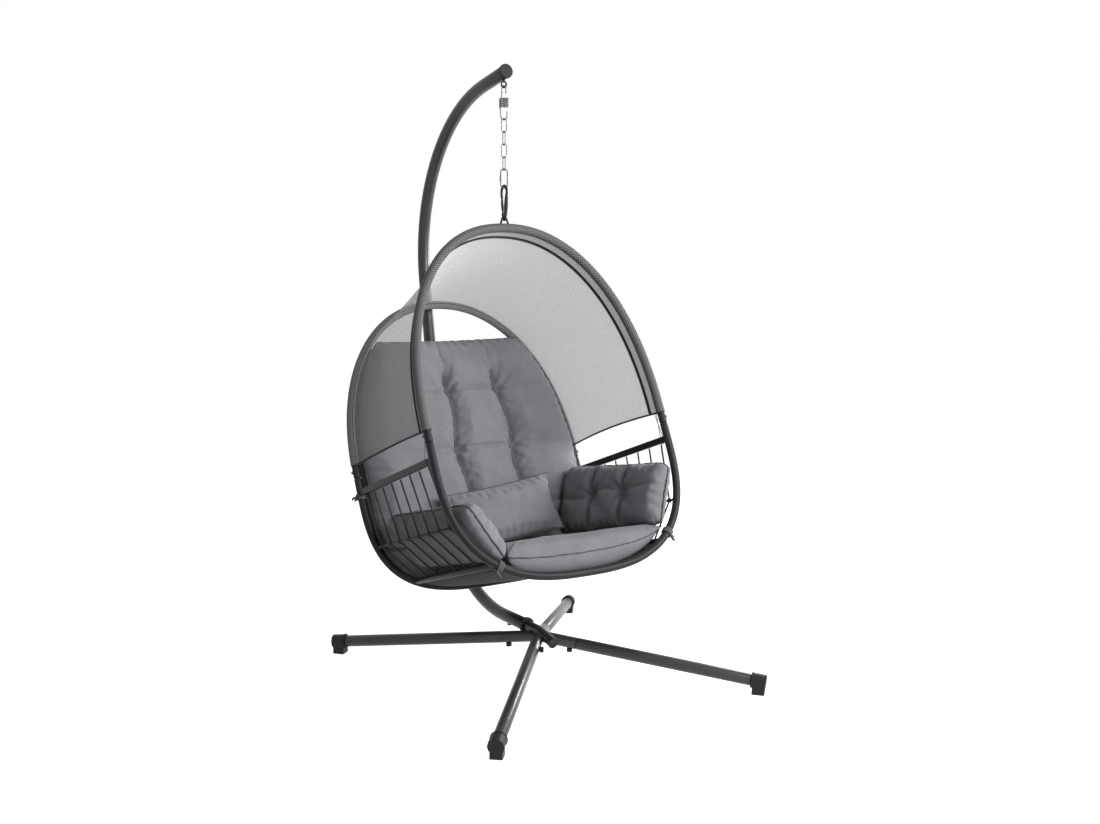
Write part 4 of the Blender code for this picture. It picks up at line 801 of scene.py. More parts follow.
class Hoop:
    def __init__(self, top, sizes):
        self.top = top
        self.upper, self.upper_power, self.side, self.lower, self.lower_power = sizes
        self.joint = -(self.upper + self.side / 2)

    def point(self, x, s):
        return self.top + X_AXIS * x + PLANE_UP * s

    def half_width(self, s):
        if s > -self.upper:
            share, power = (s + self.upper) / self.upper, self.upper_power
        elif s > -self.upper - self.side:
            return HOOP_HALF_WIDTH
        else:
            share, power = (-s - self.upper - self.side) / self.lower, self.lower_power
        return HOOP_HALF_WIDTH * max(0.0, 1 - min(1.0, share) ** power) ** (1 / power)

    def edge_point(self, s, sign):
        return self.point(sign * self.half_width(s), s)

    def low_point(self, x):
        power = self.lower_power
        rise = max(0.0, 1 - abs(x / HOOP_HALF_WIDTH) ** power) ** (1 / power)
        return self.point(x, -self.upper - self.side - self.lower * rise)

    def at_height(self, z):
        return (z - self.top.z) / PLANE_UP.z

    def side_point(self, z, sign):
        return self.edge_point(self.at_height(z), sign)

    def half(self, level, size, power, direction, turn):
        """One end to the other by way of the top (direction 1) or the bottom (direction -1)."""
        right = []
        for index in range(HOOP_STEPS + 1):
            angle = QUARTER_TURN * index / HOOP_STEPS
            x = HOOP_HALF_WIDTH * math.sin(angle) ** (2 / power)
            s = turn + direction * size * math.cos(angle) ** (2 / power)
            if direction * (s - level) > 0:
                right.append((x, s))
        right.append((self.half_width(level), level))
        left = [(-x, s) for x, s in right[:0:-1]]
        return [self.point(x, s) for x, s in left + right]

    def upper_half(self, level):
        return self.half(level, self.upper, self.upper_power, 1, -self.upper)

    def lower_half(self, level):
        return self.half(level, self.lower, self.lower_power, -1, -self.upper - self.side)


def hang_point(z):
    return Vector((0, HANG_Y, z))


FRONT = Hoop(hang_point(HOOP_TOP), FRONT_HOOP)
BACK = Hoop(FRONT.top + PLANE_BACK * BASKET_DEPTH - PLANE_UP * BACK_DROP, BACK_HOOP)
# The middle of the basket, towards which the canopy sags
HEART = (FRONT.point(0, -FRONT.upper) + BACK.point(0, -BACK.upper)) / 2


# Stand

def pole_point(y, z):
    return Vector((0, HUB_Y + y, z))


def pole_paths():
    lower_centre = pole_point(POLE_LEVEL_END, SPIGOT_HEIGHT + POLE_LOWER_BEND)
    along = Vector((0, math.sin(POLE_LEAN), math.cos(POLE_LEAN)))
    outward = Vector((0, math.cos(POLE_LEAN), -math.sin(POLE_LEAN)))
    straight_start = lower_centre + outward * POLE_LOWER_BEND
    straight_end = straight_start + along * POLE_STRAIGHT
    upper_centre = straight_end - outward * POLE_UPPER_BEND
    joint = straight_start + along * POLE_JOINT_UP
    lower = [pole_point(COLLAR_END, SPIGOT_HEIGHT)]
    lower += arc(lower_centre, Y_AXIS, Z_AXIS, POLE_LOWER_BEND, -QUARTER_TURN, -POLE_LEAN)
    lower += [joint - along * CLEAR]
    upper = [joint + along * CLEAR]
    upper += arc(upper_centre, Y_AXIS, Z_AXIS, POLE_UPPER_BEND, -POLE_LEAN, QUARTER_TURN - POLE_TIP_RISE)
    upper += [upper[-1] + Vector((0, -math.cos(POLE_TIP_RISE), math.sin(POLE_TIP_RISE))) * POLE_TIP_RUN]
    return lower, upper


LEGS = {
    "front_left": 3 * QUARTER_TURN - LEG_SPREAD,
    "front_right": 3 * QUARTER_TURN + LEG_SPREAD,
    "back_left": QUARTER_TURN + LEG_SPREAD,
    "back_right": QUARTER_TURN - LEG_SPREAD,
}


def leg_point(azimuth, distance):
    drop = (HUB_HEIGHT - FOOT_AXIS_HEIGHT) * distance / LEG_REACH
    return Vector((distance * math.cos(azimuth), HUB_Y + distance * math.sin(azimuth), HUB_HEIGHT - drop))


def build_foot_trim(name, azimuth):
    """The rolled rim at the cap's mouth and the moulded gate mark on its end."""
    end = leg_point(azimuth, LEG_REACH)
    outward = (end - leg_point(azimuth, 0.0)).normalized()
    side = outward.cross(Z_AXIS).normalized()
    up = side.cross(outward)
    mouth = leg_point(azimuth, LEG_REACH - CAP_LENGTH + CAP_RIM_SETBACK)
    shape = add_ring(bmesh.new(), mouth, side, up, CAP_RADIUS, CAP_RIM_WIRE)
    add_ring(shape, end, side, up, CAP_MARK_RADIUS, CAP_MARK_WIRE, step=MARK_STEP)
    place_piece(closed_object("foot_%s_trim" % name, shape), "stand", [PLASTIC])


def build_stand():
    for node, path in zip(("pole_lower", "pole_upper"), pole_paths()):
        place_bar(node, path, POLE_RADIUS, TUBE_SIDES, "stand", GREY_PAINT)
    place_eased("base_hub", BAR_EASE, "stand", GREY_PAINT)
    for name, azimuth in LEGS.items():
        path = [leg_point(azimuth, distance) for distance in (LEG_START + CLEAR, LEG_REACH - LEG_END_INSET)]
        place_bar("leg_" + name, path, LEG_RADIUS, TUBE_SIDES, "stand", GREY_PAINT)
        place_eased("foot_" + name, FOOT_EASE, "stand", PLASTIC, segments=4)
        build_foot_trim(name, azimuth)
        place_eased("leg_knob_" + name, KNOB_EASE, "stand", PLASTIC)
    for node in ("spigot_plug", "pole_collar", "pole_bolt", "pole_end_cap"):
        place_eased(node, FITTING_EASE, "stand", PLASTIC)


# Suspension

def level_direction(turn):
    return Vector((math.cos(turn), math.sin(turn), 0))


def hook_path(top, turn, rise, leg_end):
    across = level_direction(turn)
    up = Z_AXIS * rise
    bend = arc(hang_point(top) - up * HOOK_RADIUS, across, up, HOOK_RADIUS, 0.0, math.pi, HOOK_STEP)
    leg = hang_point(leg_end) + across * SPRING_RADIUS
    tail = bend[-1] - up * HOOK_TAIL
    return [leg, (leg + bend[0]) / 2] + bend + [(bend[-1] + tail) / 2, tail]


def build_spring():
    sweep = UPPER_HOOK_TURN - LOWER_HOOK_TURN + FULL_TURN * SPRING_TURNS
    points = []
    for share in spread(0, 1, SPRING_STEPS * SPRING_TURNS):
        place = hang_point(mix(COIL_LOW, COIL_TOP, share))
        points.append(place + level_direction(LOWER_HOOK_TURN + sweep * share) * SPRING_RADIUS)
    coil = tube("spring_coil_look", points, SPRING_WIRE, WIRE_SIDES)
    place_piece(coil, None, [ZINC], "spring_coil")
    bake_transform(coil)
    upper = hook_path(HOOK_TOP, UPPER_HOOK_TURN, 1, COIL_TOP)
    place_bar("spring_upper_hook", upper, SPRING_WIRE, WIRE_SIDES, "spring_upper", ZINC)
    lower = hook_path(HOOK_LOW, LOWER_HOOK_TURN, -1, COIL_LOW)
    place_bar("spring_lower_hook", lower, SPRING_WIRE, WIRE_SIDES, "spring_lower", ZINC)


def link_bends(top, low, half_width, across):
    """The upper bend of a link from right to left, and its lower bend from left to right."""
    upper = arc(hang_point(top - half_width), across, Z_AXIS, half_width, 0.0, math.pi, LINK_STEP)
    lower = arc(hang_point(low + half_width), across, Z_AXIS, half_width, math.pi, FULL_TURN, LINK_STEP)
    return upper, lower


def build_chain():
    for index, body in enumerate(("first_link", "second_link", "third_link", "fourth_link")):
        node = "chain_link_%d" % (index + 1)
        across = level_direction(CHAIN_TURN + (index % 2) * QUARTER_TURN)
        top = CHAIN_TOP - index * CHAIN_PITCH
        upper, lower = link_bends(top, top - CHAIN_LENGTH, CHAIN_HALF_WIDTH, across)
        shape = add_tube(bmesh.new(), upper + lower, CHAIN_WIRE, sides=WIRE_SIDES, closed=True)
        weld = hang_point(top - CHAIN_LENGTH / 2) + across * CHAIN_HALF_WIDTH
        bead = [weld + Z_AXIS * height for height, _ in WELD_PROFILE]
        factors = [share for _, share in WELD_PROFILE]
        add_tube(shape, bead, CHAIN_WIRE * WELD_SWELL, sides=WIRE_SIDES, factors=factors)
        place_piece(closed_object(node + "_look", shape), body, [ZINC], node)


def build_quick_link():
    across = level_direction(CHAIN_TURN)
    middle = hang_point((QUICK_TOP + QUICK_LOW) / 2) - across * QUICK_HALF_WIDTH
    upper, lower = link_bends(QUICK_TOP, QUICK_LOW, QUICK_HALF_WIDTH, across)
    half_gap = Z_AXIS * QUICK_GAP / 2
    path = [middle - half_gap] + lower + upper + [middle + half_gap]
    place_bar("quick_link", path, QUICK_WIRE, LINK_SIDES, "joining_link", ZINC)
    place_eased("quick_link_sleeve", LINK_SLEEVE_EASE, "joining_sleeve", ZINC)


def build_pole_eye():
    centre = hang_point(EYE_LOW + EYE_RING)
    shape = add_ring(bmesh.new(), centre, X_AXIS, Z_AXIS, EYE_RING, EYE_WIRE, sides=LINK_SIDES)
    neck = [centre + Z_AXIS * EYE_RING]
    neck += [hang_point(POLE_UNDERSIDE - drop) for drop in (EYE_NECK_TAPER, EYE_NECK_END)]
    add_tube(shape, neck, EYE_SHANK_RADIUS, sides=SNAP_SIDES, factors=EYE_NECK_FACTORS)
    place_piece(closed_object("pole_eye_look", shape), "stand", [BLACK_STEEL], "pole_eye")


def build_snap_hook():
    across = level_direction(CHAIN_TURN + QUARTER_TURN)
    high = hang_point(SNAP_TOP - SNAP_TOP_RADIUS)
    low = hang_point(SNAP_LOW + SNAP_LOW_RADIUS)
    tilt = math.asin((SNAP_TOP_RADIUS - SNAP_LOW_RADIUS) / (high.z - low.z))
    side = across * math.cos(tilt) - Z_AXIS * math.sin(tilt)
    gate_top = high + side * SNAP_TOP_RADIUS
    gate_low = low + side * SNAP_LOW_RADIUS
    along = (gate_top - gate_low).normalized()
    heel = (gate_top + gate_low) / 2 - along * SNAP_GATE_LENGTH / 2
    nose = heel + along * SNAP_GATE_LENGTH
    shares = spread(0, 1, SNAP_SWELL_STEPS)
    swell = [math.sin(math.pi * share) for share in shares]

    low_bend = arc(low, across, Z_AXIS, SNAP_LOW_RADIUS, -tilt, -math.pi + tilt, SNAP_STEP)
    high_bend = arc(high, across, Z_AXIS, SNAP_TOP_RADIUS, math.pi + tilt, -tilt, SNAP_STEP)
    spine = [mix(low_bend[-1], high_bend[0], share) for share in shares[1:-1]]
    path = [heel - along * SNAP_GATE_HEEL] + low_bend + spine + high_bend + [nose + along * SNAP_NOSE_GAP]
    path, factors = rounded_ends(path, SNAP_WIRE)
    for index, amount in enumerate(swell[1:-1], path.index(spine[0])):
        factors[index] += SNAP_SPINE_SWELL * amount
    hook = tube("snap_hook_look", path, SNAP_WIRE, SNAP_SIDES, factors=factors)
    place_piece(hook, "hook", [BLACK_STEEL], "snap_hook")

    path = [heel] + spread(heel + along * SNAP_GATE_TAPER, nose - along * SNAP_GATE_NOSE, SNAP_SWELL_STEPS)
    path += [nose - along * CLEAR]
    factors = [SNAP_GATE_HEEL_SHARE] + [1 + SNAP_GATE_SWELL * amount for amount in swell]
    factors += [SNAP_GATE_NOSE_SHARE]
    gate = tube("snap_hook_gate_look", path, SNAP_GATE_RADIUS, SNAP_SIDES, factors=factors)
    place_piece(gate, "gate", [BLACK_STEEL], "snap_hook_gate")


def build_hoop_eye():
    foot = hang_point(HOOP_TOP + HOOP_RADIUS)
    reach = X_AXIS * (HOOP_EYE_HALF_WIDTH * HOOP_EYE_SPREAD)
    centre = hang_point(HOOP_EYE_TOP - HOOP_EYE_BEND)
    bend = arc(centre, X_AXIS, Z_AXIS, HOOP_EYE_BEND, 0.0, math.pi, HOOK_STEP)
    eye = tube("hoop_eye_look", [foot + reach] + bend + [foot - reach], HOOP_EYE_WIRE, LINK_SIDES)
    place_piece(eye, "basket", [BLACK_STEEL], "hoop_eye")


# Basket frame

SIDES = {"left": -1, "right": 1}


def build_hoops():
    for name, hoop in (("front_hoop", FRONT), ("back_hoop", BACK)):
        arch = resample(hoop.upper_half(hoop.joint + CLEAR), ARCH_POINTS)
        base = resample(hoop.lower_half(hoop.joint - CLEAR), BASE_POINTS)
        place_bar(name + "_arch", arch, HOOP_RADIUS, HOOP_SIDES, "basket", DARK_PAINT)
        place_bar(name + "_base", base, HOOP_RADIUS, HOOP_SIDES, "basket", DARK_PAINT)
        for side in SIDES:
            place_eased("%s_screw_%s" % (name, side), FITTING_EASE, "basket", BLACK_STEEL)


def arm_bar_ends(sign):
    return BACK.side_point(ARM_BAR_BACK_Z, sign), FRONT.side_point(ARM_BAR_FRONT_Z, sign)


def rail_ends(sign):
    return BACK.low_point(sign * RAIL_X), FRONT.low_point(sign * RAIL_X)


def lace_ends(sign):
    return BACK.side_point(LACE_BACK_Z, sign), FRONT.side_point(LACE_FRONT_Z, sign)


def shortened(ends, gap):
    along = (ends[1] - ends[0]).normalized()
    return [ends[0] + along * gap, ends[1] - along * gap]


def wrap(shape, centre, along, across, reach, radius, turns):
    """Cord wound round a bar: a helix."""
    points = []
    up = along.cross(across)
    for index in range(WRAP_STEPS * turns + 1):
        angle = FULL_TURN * index / WRAP_STEPS
        shift = along * (radius * WRAP_PITCH * (index / WRAP_STEPS - turns / 2))
        points.append(centre + shift + across * (reach * math.cos(angle)) + up * (reach * math.sin(angle)))
    add_tube(shape, points, radius)


def build_side_cords(side, sign):
    bars, lace, rails = arm_bar_ends(sign), lace_ends(sign), rail_ends(sign)
    shape = add_tube(bmesh.new(), shortened(lace, HOOP_RADIUS * LACE_TUCK), LACE_RADIUS, sides=LACE_SIDES)
    lace_along = (lace[1] - lace[0]).normalized()
    for share in spread(CORD_END_SPACE, 1 - CORD_END_SPACE, CORD_COUNT - 1):
        top, bend, low = mix(*bars, share), mix(*lace, share), mix(*rails, share)
        upper = (bend - top).normalized()
        lower = (low - bend).normalized()
        start = top + upper * ARM_BAR_TALL * CORD_BAR_TUCK
        end = low - lower * (RAIL_RADIUS + CORD_RADIUS * CORD_RAIL_TUCK)
        path = [start, (start + bend) / 2, bend - upper * CORD_CORNER, bend]
        path += [bend + lower * CORD_CORNER, (bend + end) / 2, end]
        add_tube(shape, path, CORD_RADIUS)
        reach = LACE_RADIUS + CORD_RADIUS * CORD_WRAP_SEAT
        wrap(shape, bend, lace_along, upper, reach, CORD_RADIUS * CORD_WRAP_SHARE, CORD_WRAP_TURNS)
    panel = closed_object("side_cords_%s_look" % side, shape)
    place_piece(panel, "basket", [CORD], "side_cords_" + side)


def build_sides():
    for side, sign in SIDES.items():
        place_eased("arm_bar_" + side, BAR_EASE, "basket", DARK_PAINT)
        path = shortened(rail_ends(sign), HOOP_RADIUS * RAIL_TUCK)
        place_bar("seat_rail_" + side, path, RAIL_RADIUS, RAIL_SIDES, "basket", DARK_PAINT)
        build_side_cords(side, sign)


# Stretched cloth

def cloth_grid(name, rows, thickness, two_faced=False):
    """A sheet through a grid of points, with a map in metres. Two finishes are for its two faces."""
    shape = bmesh.new()
    layer = shape.loops.layers.uv.verify()
    verts = [[shape.verts.new(place) for place in row] for row in rows]
    downs = lengths_along([row[len(row) // 2] for row in rows])
    maps = []
    for row, down in zip(rows, downs):
        line = lengths_along(row)
        maps.append([(spot - line[-1] / 2, down) for spot in line])
    for r in range(len(rows) - 1):
        for c in range(len(rows[0]) - 1):
            spots = ((r, c), (r, c + 1), (r + 1, c + 1), (r + 1, c))
            face = shape.faces.new([verts[a][b] for a, b in spots])
            face.smooth = True
            for loop, (a, b) in zip(face.loops, spots):
                loop[layer].uv = maps[a][b]
    obj = mesh_object(name, shape)
    skin = obj.modifiers.new("skin", 'SOLIDIFY')
    skin.thickness = thickness
    skin.offset = 0.0
    if two_faced:
        skin.material_offset = 1
        skin.material_offset_rim = 1
    return obj


def canopy_line(hoop, hem, count):
    return resample(hoop.upper_half(hoop.at_height(hem)), count)


def canopy_rows(shares, inset=0.0):
    """Rows of the canopy's points from hem to hem, at shares of the way from the front hoop to the back."""
    front_line = canopy_line(FRONT, CANOPY_FRONT_HEM_Z, CANOPY_POINTS)
    back_line = canopy_line(BACK, CANOPY_BACK_HEM_Z, CANOPY_POINTS)
    rows = []
    for share in shares:
        middle = 4 * share * (1 - share)
        start = CANOPY_HEM_RISE * middle
        line = []
        for across in spread(start, 1 - start, CANOPY_COLUMNS):
            place = across * (CANOPY_POINTS - 1)
            low = min(int(place), CANOPY_POINTS - 2)
            front = mix(front_line[low], front_line[low + 1], place - low)
            back = mix(back_line[low], back_line[low + 1], place - low)
            point = mix(front, back, share)
            line.append(point + (HEART - point).normalized() * (CANOPY_SAG * middle + inset))
        rows.append(line)
    return rows


def build_canopy():
    edge = (HOOP_RADIUS + CANOPY_EDGE) / BASKET_DEPTH
    rows = canopy_rows(spread(edge, 1 - edge, CANOPY_ROWS))
    canopy = cloth_grid("canopy_look", rows, CANOPY_SHEET, two_faced=True)
    # Outer face in painted shade, inner face in painted light
    place_piece(canopy, "basket", [MESH_OUTER_PAINTED_SHADE, MESH_INNER_PAINTED_LIGHT], "canopy")

    band_rows = canopy_rows([edge + index * BAND_STEP for index in range(BAND_ROWS)], BAND_INSET)
    band = cloth_grid("canopy_band", band_rows, BAND_SHEET)
    trims = [place_piece(band, "basket", [MESH_BAND])]

    shape = bmesh.new()
    left, right = [[row[column] for row in rows] for column in (0, -1)]
    hems = ((band_rows[-1], FRONT_HEM), (left, SIDE_HEM), (right, SIDE_HEM), (rows[-1], BACK_HEM))
    for path, (radius, flat) in hems:
        add_tube(shape, path, radius, flat=flat)
    trims.append(place_piece(closed_object("canopy_hems", shape), "basket", [BINDING]))

    # The back sleeve's lighter mesh is painted light
    for name, hoop, hem, finish in (("canopy_sleeve_front", FRONT, CANOPY_FRONT_HEM_Z, MESH_SLEEVE),
                                    ("canopy_sleeve_back", BACK, CANOPY_BACK_HEM_Z, MESH_SLEEVE_BACK_PAINTED_LIGHT)):
        path = canopy_line(hoop, hem, SLEEVE_POINTS)
        trims.append(place_piece(tube(name, path, CANOPY_SLEEVE_RADIUS, RAIL_SIDES), "basket", [finish]))


def seat_point(x, share):
    return mix(FRONT.low_point(x), BACK.low_point(x), share)


def build_slings():
    edge = (HOOP_RADIUS + SEAT_SLING_EDGE) / SEAT_SLING_SPAN
    reach = RAIL_X - RAIL_RADIUS - SLING_EDGE
    columns = spread(-1, 1, SLING_COLUMNS)
    rows = []
    for share in spread(edge, 1 - edge, SEAT_SLING_ROWS):
        rows.append([seat_point(reach * across, share) for across in columns])
    seat = cloth_grid("seat_sling_look", rows, SEAT_SLING_SHEET)
    place_piece(seat, "basket", [SLING], "seat_sling")

    rows = []
    for down in spread(BACK_SLING_TOP, BACK_SLING_LOW, BACK_SLING_ROWS):
        reach = BACK.half_width(-down) - HOOP_RADIUS - SLING_EDGE
        line = []
        for across in columns:
            bulge = PLANE_BACK * (BACK_SLING_BULGE * (1 - across ** 2))
            line.append(BACK.point(reach * across, -down) + bulge)
        rows.append(line)
    back = cloth_grid("back_sling_look", rows, BACK_SLING_SHEET)
    place_piece(back, "basket", [MESH_BACK], "back_sling")


# Cushions

def crown(u, v, power):
    return math.sqrt(max(0.0, (1 - abs(u) ** power) * (1 - abs(v) ** power)))


def dent(value, centre, width):
    return math.exp(-((value - centre) / width) ** 2)


def crease(value, centre, width):
    """1 in a sewn line and soon less beside it, as cloth rolls into a seam."""
    return math.exp(-abs(value - centre) / width)


def pinch(across, along, folds, reach):
    """Folds that run out from a tuft, as a share of their height. The offsets from it are in metres."""
    distance = math.hypot(across, along)
    start = 1 - math.exp(-distance / (reach * PINCH_START))
    return math.cos(folds * math.atan2(along, across)) * start * math.exp(-distance / reach)


def gather(u, v, height, waves_across, waves_along):
    """Small folds where the cloth is gathered along the rim."""
    drift_u = GATHER_DRIFT * math.sin(GATHER_WAVES * u)
    drift_v = GATHER_DRIFT * math.sin(GATHER_WAVES * v)
    ends = crease(abs(u), 1, GATHER_END) * math.sin(waves_along * v + drift_v)
    sides = crease(abs(v), 1, GATHER_SIDE) * math.sin(waves_across * u + drift_u)
    return height * (ends + sides)


def rumple(place, size, depth):
    """Soft unevenness of a filled pad."""
    return depth * noise.fractal(place * size, *RUMPLE)


class Pad:
    """A closed pad of two faces that share their rim, each a grid over u and v from -1 to 1."""

    def __init__(self, node, surface, hold):
        self.columns, self.rows, reach, grow, fill, welt = FILLINGS[node]
        self.places = []
        shape = bmesh.new()
        front = self.add_face(shape, surface, 1, None)
        rear = self.add_face(shape, surface, -1, front)
        for verts, turn in ((front, 1), (rear, -1)):
            for low, high in zip(verts, verts[1:]):
                for column in range(self.columns):
                    quad = low[column:column + 2] + high[column:column + 2][::-1]
                    shape.faces.new(quad[::turn]).smooth = True
        bmesh.ops.recalc_face_normals(shape, faces=shape.faces)
        if shape.calc_volume(signed=True) < 0:
            bmesh.ops.reverse_faces(shape, faces=shape.faces)
        self.object = mesh_object(node + "_look", shape)
        self.puff(hold, reach, grow)
        detail = self.object.modifiers.new("detail", 'SUBSURF')
        detail.levels = 1
        detail.render_levels = 1
        place_piece(self.object, "basket", [CUSHION], node)
        self.add_welt(node, welt)

    def add_face(self, shape, surface, side, rim_of):
        """Points of one face, row by row. Keeps each new point's (u, v, side), with side 0 on the rim."""
        verts = []
        for row in range(self.rows + 1):
            line = []
            for column in range(self.columns + 1):
                rim = row in (0, self.rows) or column in (0, self.columns)
                if rim and rim_of:
                    line.append(rim_of[row][column])
                else:
                    u = 2 * column / self.columns - 1
                    v = 2 * row / self.rows - 1
                    line.append(shape.verts.new(surface(u, v, side)))
                    self.places.append((u, v, 0 if rim else side))
            verts.append(line)
        return verts

    def front_point(self, u, v):
        """A place on the front face, between the points of its grid."""
        across = (u + 1) / 2 * self.columns
        up = (v + 1) / 2 * self.rows
        column = min(int(across), self.columns - 1)
        row = min(int(up), self.rows - 1)
        wide = self.columns + 1
        verts = self.object.data.vertices
        first = row * wide + column
        low = mix(verts[first].co, verts[first + 1].co, across - column)
        high = mix(verts[first + wide].co, verts[first + wide + 1].co, across - column)
        return mix(low, high, up - row)

    def rim(self):
        """The places along the rim, once round."""
        turn = [2 * column / self.columns - 1 for column in range(self.columns)]
        rise = [2 * row / self.rows - 1 for row in range(self.rows)]
        spots = [(u, -1) for u in turn] + [(1, v) for v in rise]
        spots += [(-u, 1) for u in turn] + [(-1, -v) for v in rise]
        return [self.front_point(u, v) for u, v in spots]

    def puff(self, hold, reach, grow):
        """Fill the pad by simulation: held where it is sewn, with a little more cloth elsewhere."""
        obj = self.object
        start = [vertex.co.copy() for vertex in obj.data.vertices]
        group = obj.vertex_groups.new(name="sewn")
        for index, (u, v, side) in enumerate(self.places):
            group.add([index], hold(u, v, side), 'REPLACE')
        cloth = obj.modifiers.new("filling", 'CLOTH')
        for key, value in PUFF_SETTINGS.items():
            setattr(cloth.settings, key, value)
        cloth.settings.vertex_group_mass = group.name
        cloth.settings.effector_weights.gravity = 0.0
        cloth.settings.shrink_min = -grow
        cloth.collision_settings.use_collision = False
        cloth.collision_settings.use_self_collision = False
        cloth.point_cache.frame_start = 1
        cloth.point_cache.frame_end = PUFF_FRAMES
        scene = bpy.context.scene
        for number in range(1, PUFF_FRAMES + 1):
            scene.frame_set(number)
        graph = bpy.context.evaluated_depsgraph_get()
        swollen = obj.evaluated_get(graph).to_mesh()
        moved = [vertex.co.copy() for vertex in swollen.vertices]
        obj.evaluated_get(graph).to_mesh_clear()
        obj.modifiers.remove(cloth)
        scene.frame_set(1)
        for vertex, before, after in zip(obj.data.vertices, start, moved):
            step = after - before
            vertex.co = before + step * min(1.0, reach / max(step.length, TINY))

    def add_welt(self, node, radius):
        """The gathered seam round the rim."""
        points = [point + noise.noise_vector(point * WELT_PITCH) * WELT_WOBBLE for point in self.rim()]
        factors = [1 + WELT_RIPPLE * math.sin(index * WELT_STEP) for index in range(len(points))]
        welt = tube(node + "_welt", points, radius, CORD_SIDES, closed=True, factors=factors)
        # Welt in the dark seam cloth, partly painted shade of the seam's crease
        place_piece(welt, "basket", [SEAM_AND_CREASE_SHADE])

    def add_stitching(self, name, lines, lift):
        """Sewn lines in the creases of the front face, lifted by as much as the creases are smoothed; their
        dark seam cloth is painted shade of the creases as well as the seam's own colour.
        """
        shape = bmesh.new()
        for spots in lines:
            path = [self.front_point(u, v) + lift for u, v in spots]
            add_tube(shape, path, STITCH_RADIUS, sides=STITCH_SIDES)
        # Stitching in the dark seam cloth, partly painted shade of the creases
        place_piece(closed_object(name, shape), "basket", [SEAM_AND_CREASE_SHADE])


def back_channel(number, v):
    """Where a sewn channel of the back cushion runs at height v."""
    spot = BACK_PAD_CHANNELS[number]
    return spot + CHANNEL_WANDER * math.sin(CHANNEL_WAVES * v + number)


def channel_share(v):
    """The channels fade out above the highest tufts."""
    share = min(1.0, max(0.0, (BACK_PAD_CHANNEL_TOP - v) / CHANNEL_FADE))
    return share * share * (3 - 2 * share)


def back_pad_sink(u, v):
    sink = 0.0
    for number in (0, 1):
        line = back_channel(number, v)
        sink = max(sink, BACK_PAD_CHANNEL_SINK * crease(u, line, BACK_PAD_CHANNEL_WIDTH) * channel_share(v))
        for row in BACK_PAD_TUFTS:
            tuft = dent(u, line, BACK_PAD_TUFT_WIDTH) * dent(v, row, BACK_PAD_TUFT_HEIGHT)
            sink = max(sink, BACK_PAD_TUFT_SINK * tuft)
    ends = 1 - u ** BACK_PAD_CREASE_POWER
    for row in BACK_PAD_TUFTS:
        sink = max(sink, BACK_PAD_CREASE_SINK * crease(v, row, BACK_PAD_CREASE_HEIGHT) * ends)
    return sink


def back_pad_point(u, v, side):
    bow = 1 - BACK_PAD_END_BOW * (1 - u * u)
    s = -BACK_PAD_TOP - BACK_PAD_LENGTH * (1 - v * bow) / 2
    half = max(HOOP_HALF_WIDTH - BACK_PAD_TOP_INSET, BACK.half_width(s) - BACK_PAD_SIDE_INSET)
    place = BACK.point(u * half, s) - PLANE_BACK * BACK_PAD_LEVEL
    depth = BACK_PAD_REAR
    if side > 0:
        depth = BACK_PAD_FRONT * (1 - back_pad_sink(u, v)) - PAD_SLACK
        for number in (0, 1):
            for row in BACK_PAD_TUFTS:
                across = (u - back_channel(number, row)) * half
                along = (v - row) * BACK_PAD_LENGTH / 2
                depth += BACK_PAD_FOLD * pinch(across, along, PINCH_FOLDS + number, BACK_PAD_FOLD_REACH)
        depth += gather(u, v, *BACK_PAD_GATHER) + rumple(place, *BACK_PAD_RUMPLE)
    return place - PLANE_BACK * (side * crown(u, v, BACK_PAD_SQUARENESS) * depth)


def build_back_cushion():
    def hold(u, v, side):
        if side <= 0:
            return 1.0 if side == 0 else BACK_PAD_REAR_HOLD
        lines = [back_channel(number, v) for number in (0, 1)]
        across = [dent(u, line, BACK_PAD_TUFT_HOLD) for line in lines]
        along = [dent(v, row, BACK_PAD_TUFT_HOLD) for row in BACK_PAD_TUFTS]
        sewn = max(dent(u, line, SEWN_WIDTH) for line in lines) * channel_share(v)
        return max(sewn, max(across) * max(along))

    cushion = Pad("back_cushion", back_pad_point, hold)
    heights = spread(BACK_PAD_CHANNEL_TOP - CHANNEL_FADE / 2, BACK_PAD_CHANNEL_END, STITCH_STEPS)
    lines = [[(back_channel(number, v), v) for v in heights] for number in (0, 1)]
    cushion.add_stitching("back_cushion_stitching", lines, PLANE_BACK * -STITCH_LIFT)


def basket_floor(x, share):
    if abs(x) <= RAIL_X:
        return seat_point(x, share)
    sign = math.copysign(1, x)
    rail = seat_point(sign * RAIL_X, share)
    lace = mix(*lace_ends(sign)[::-1], share)
    return mix(rail, lace, (x - rail.x) / (lace.x - rail.x))


SEAT_ALONG = (seat_point(0, 0) - seat_point(0, 1)).normalized()
SEAT_NORMAL = X_AXIS.cross(-SEAT_ALONG).normalized()


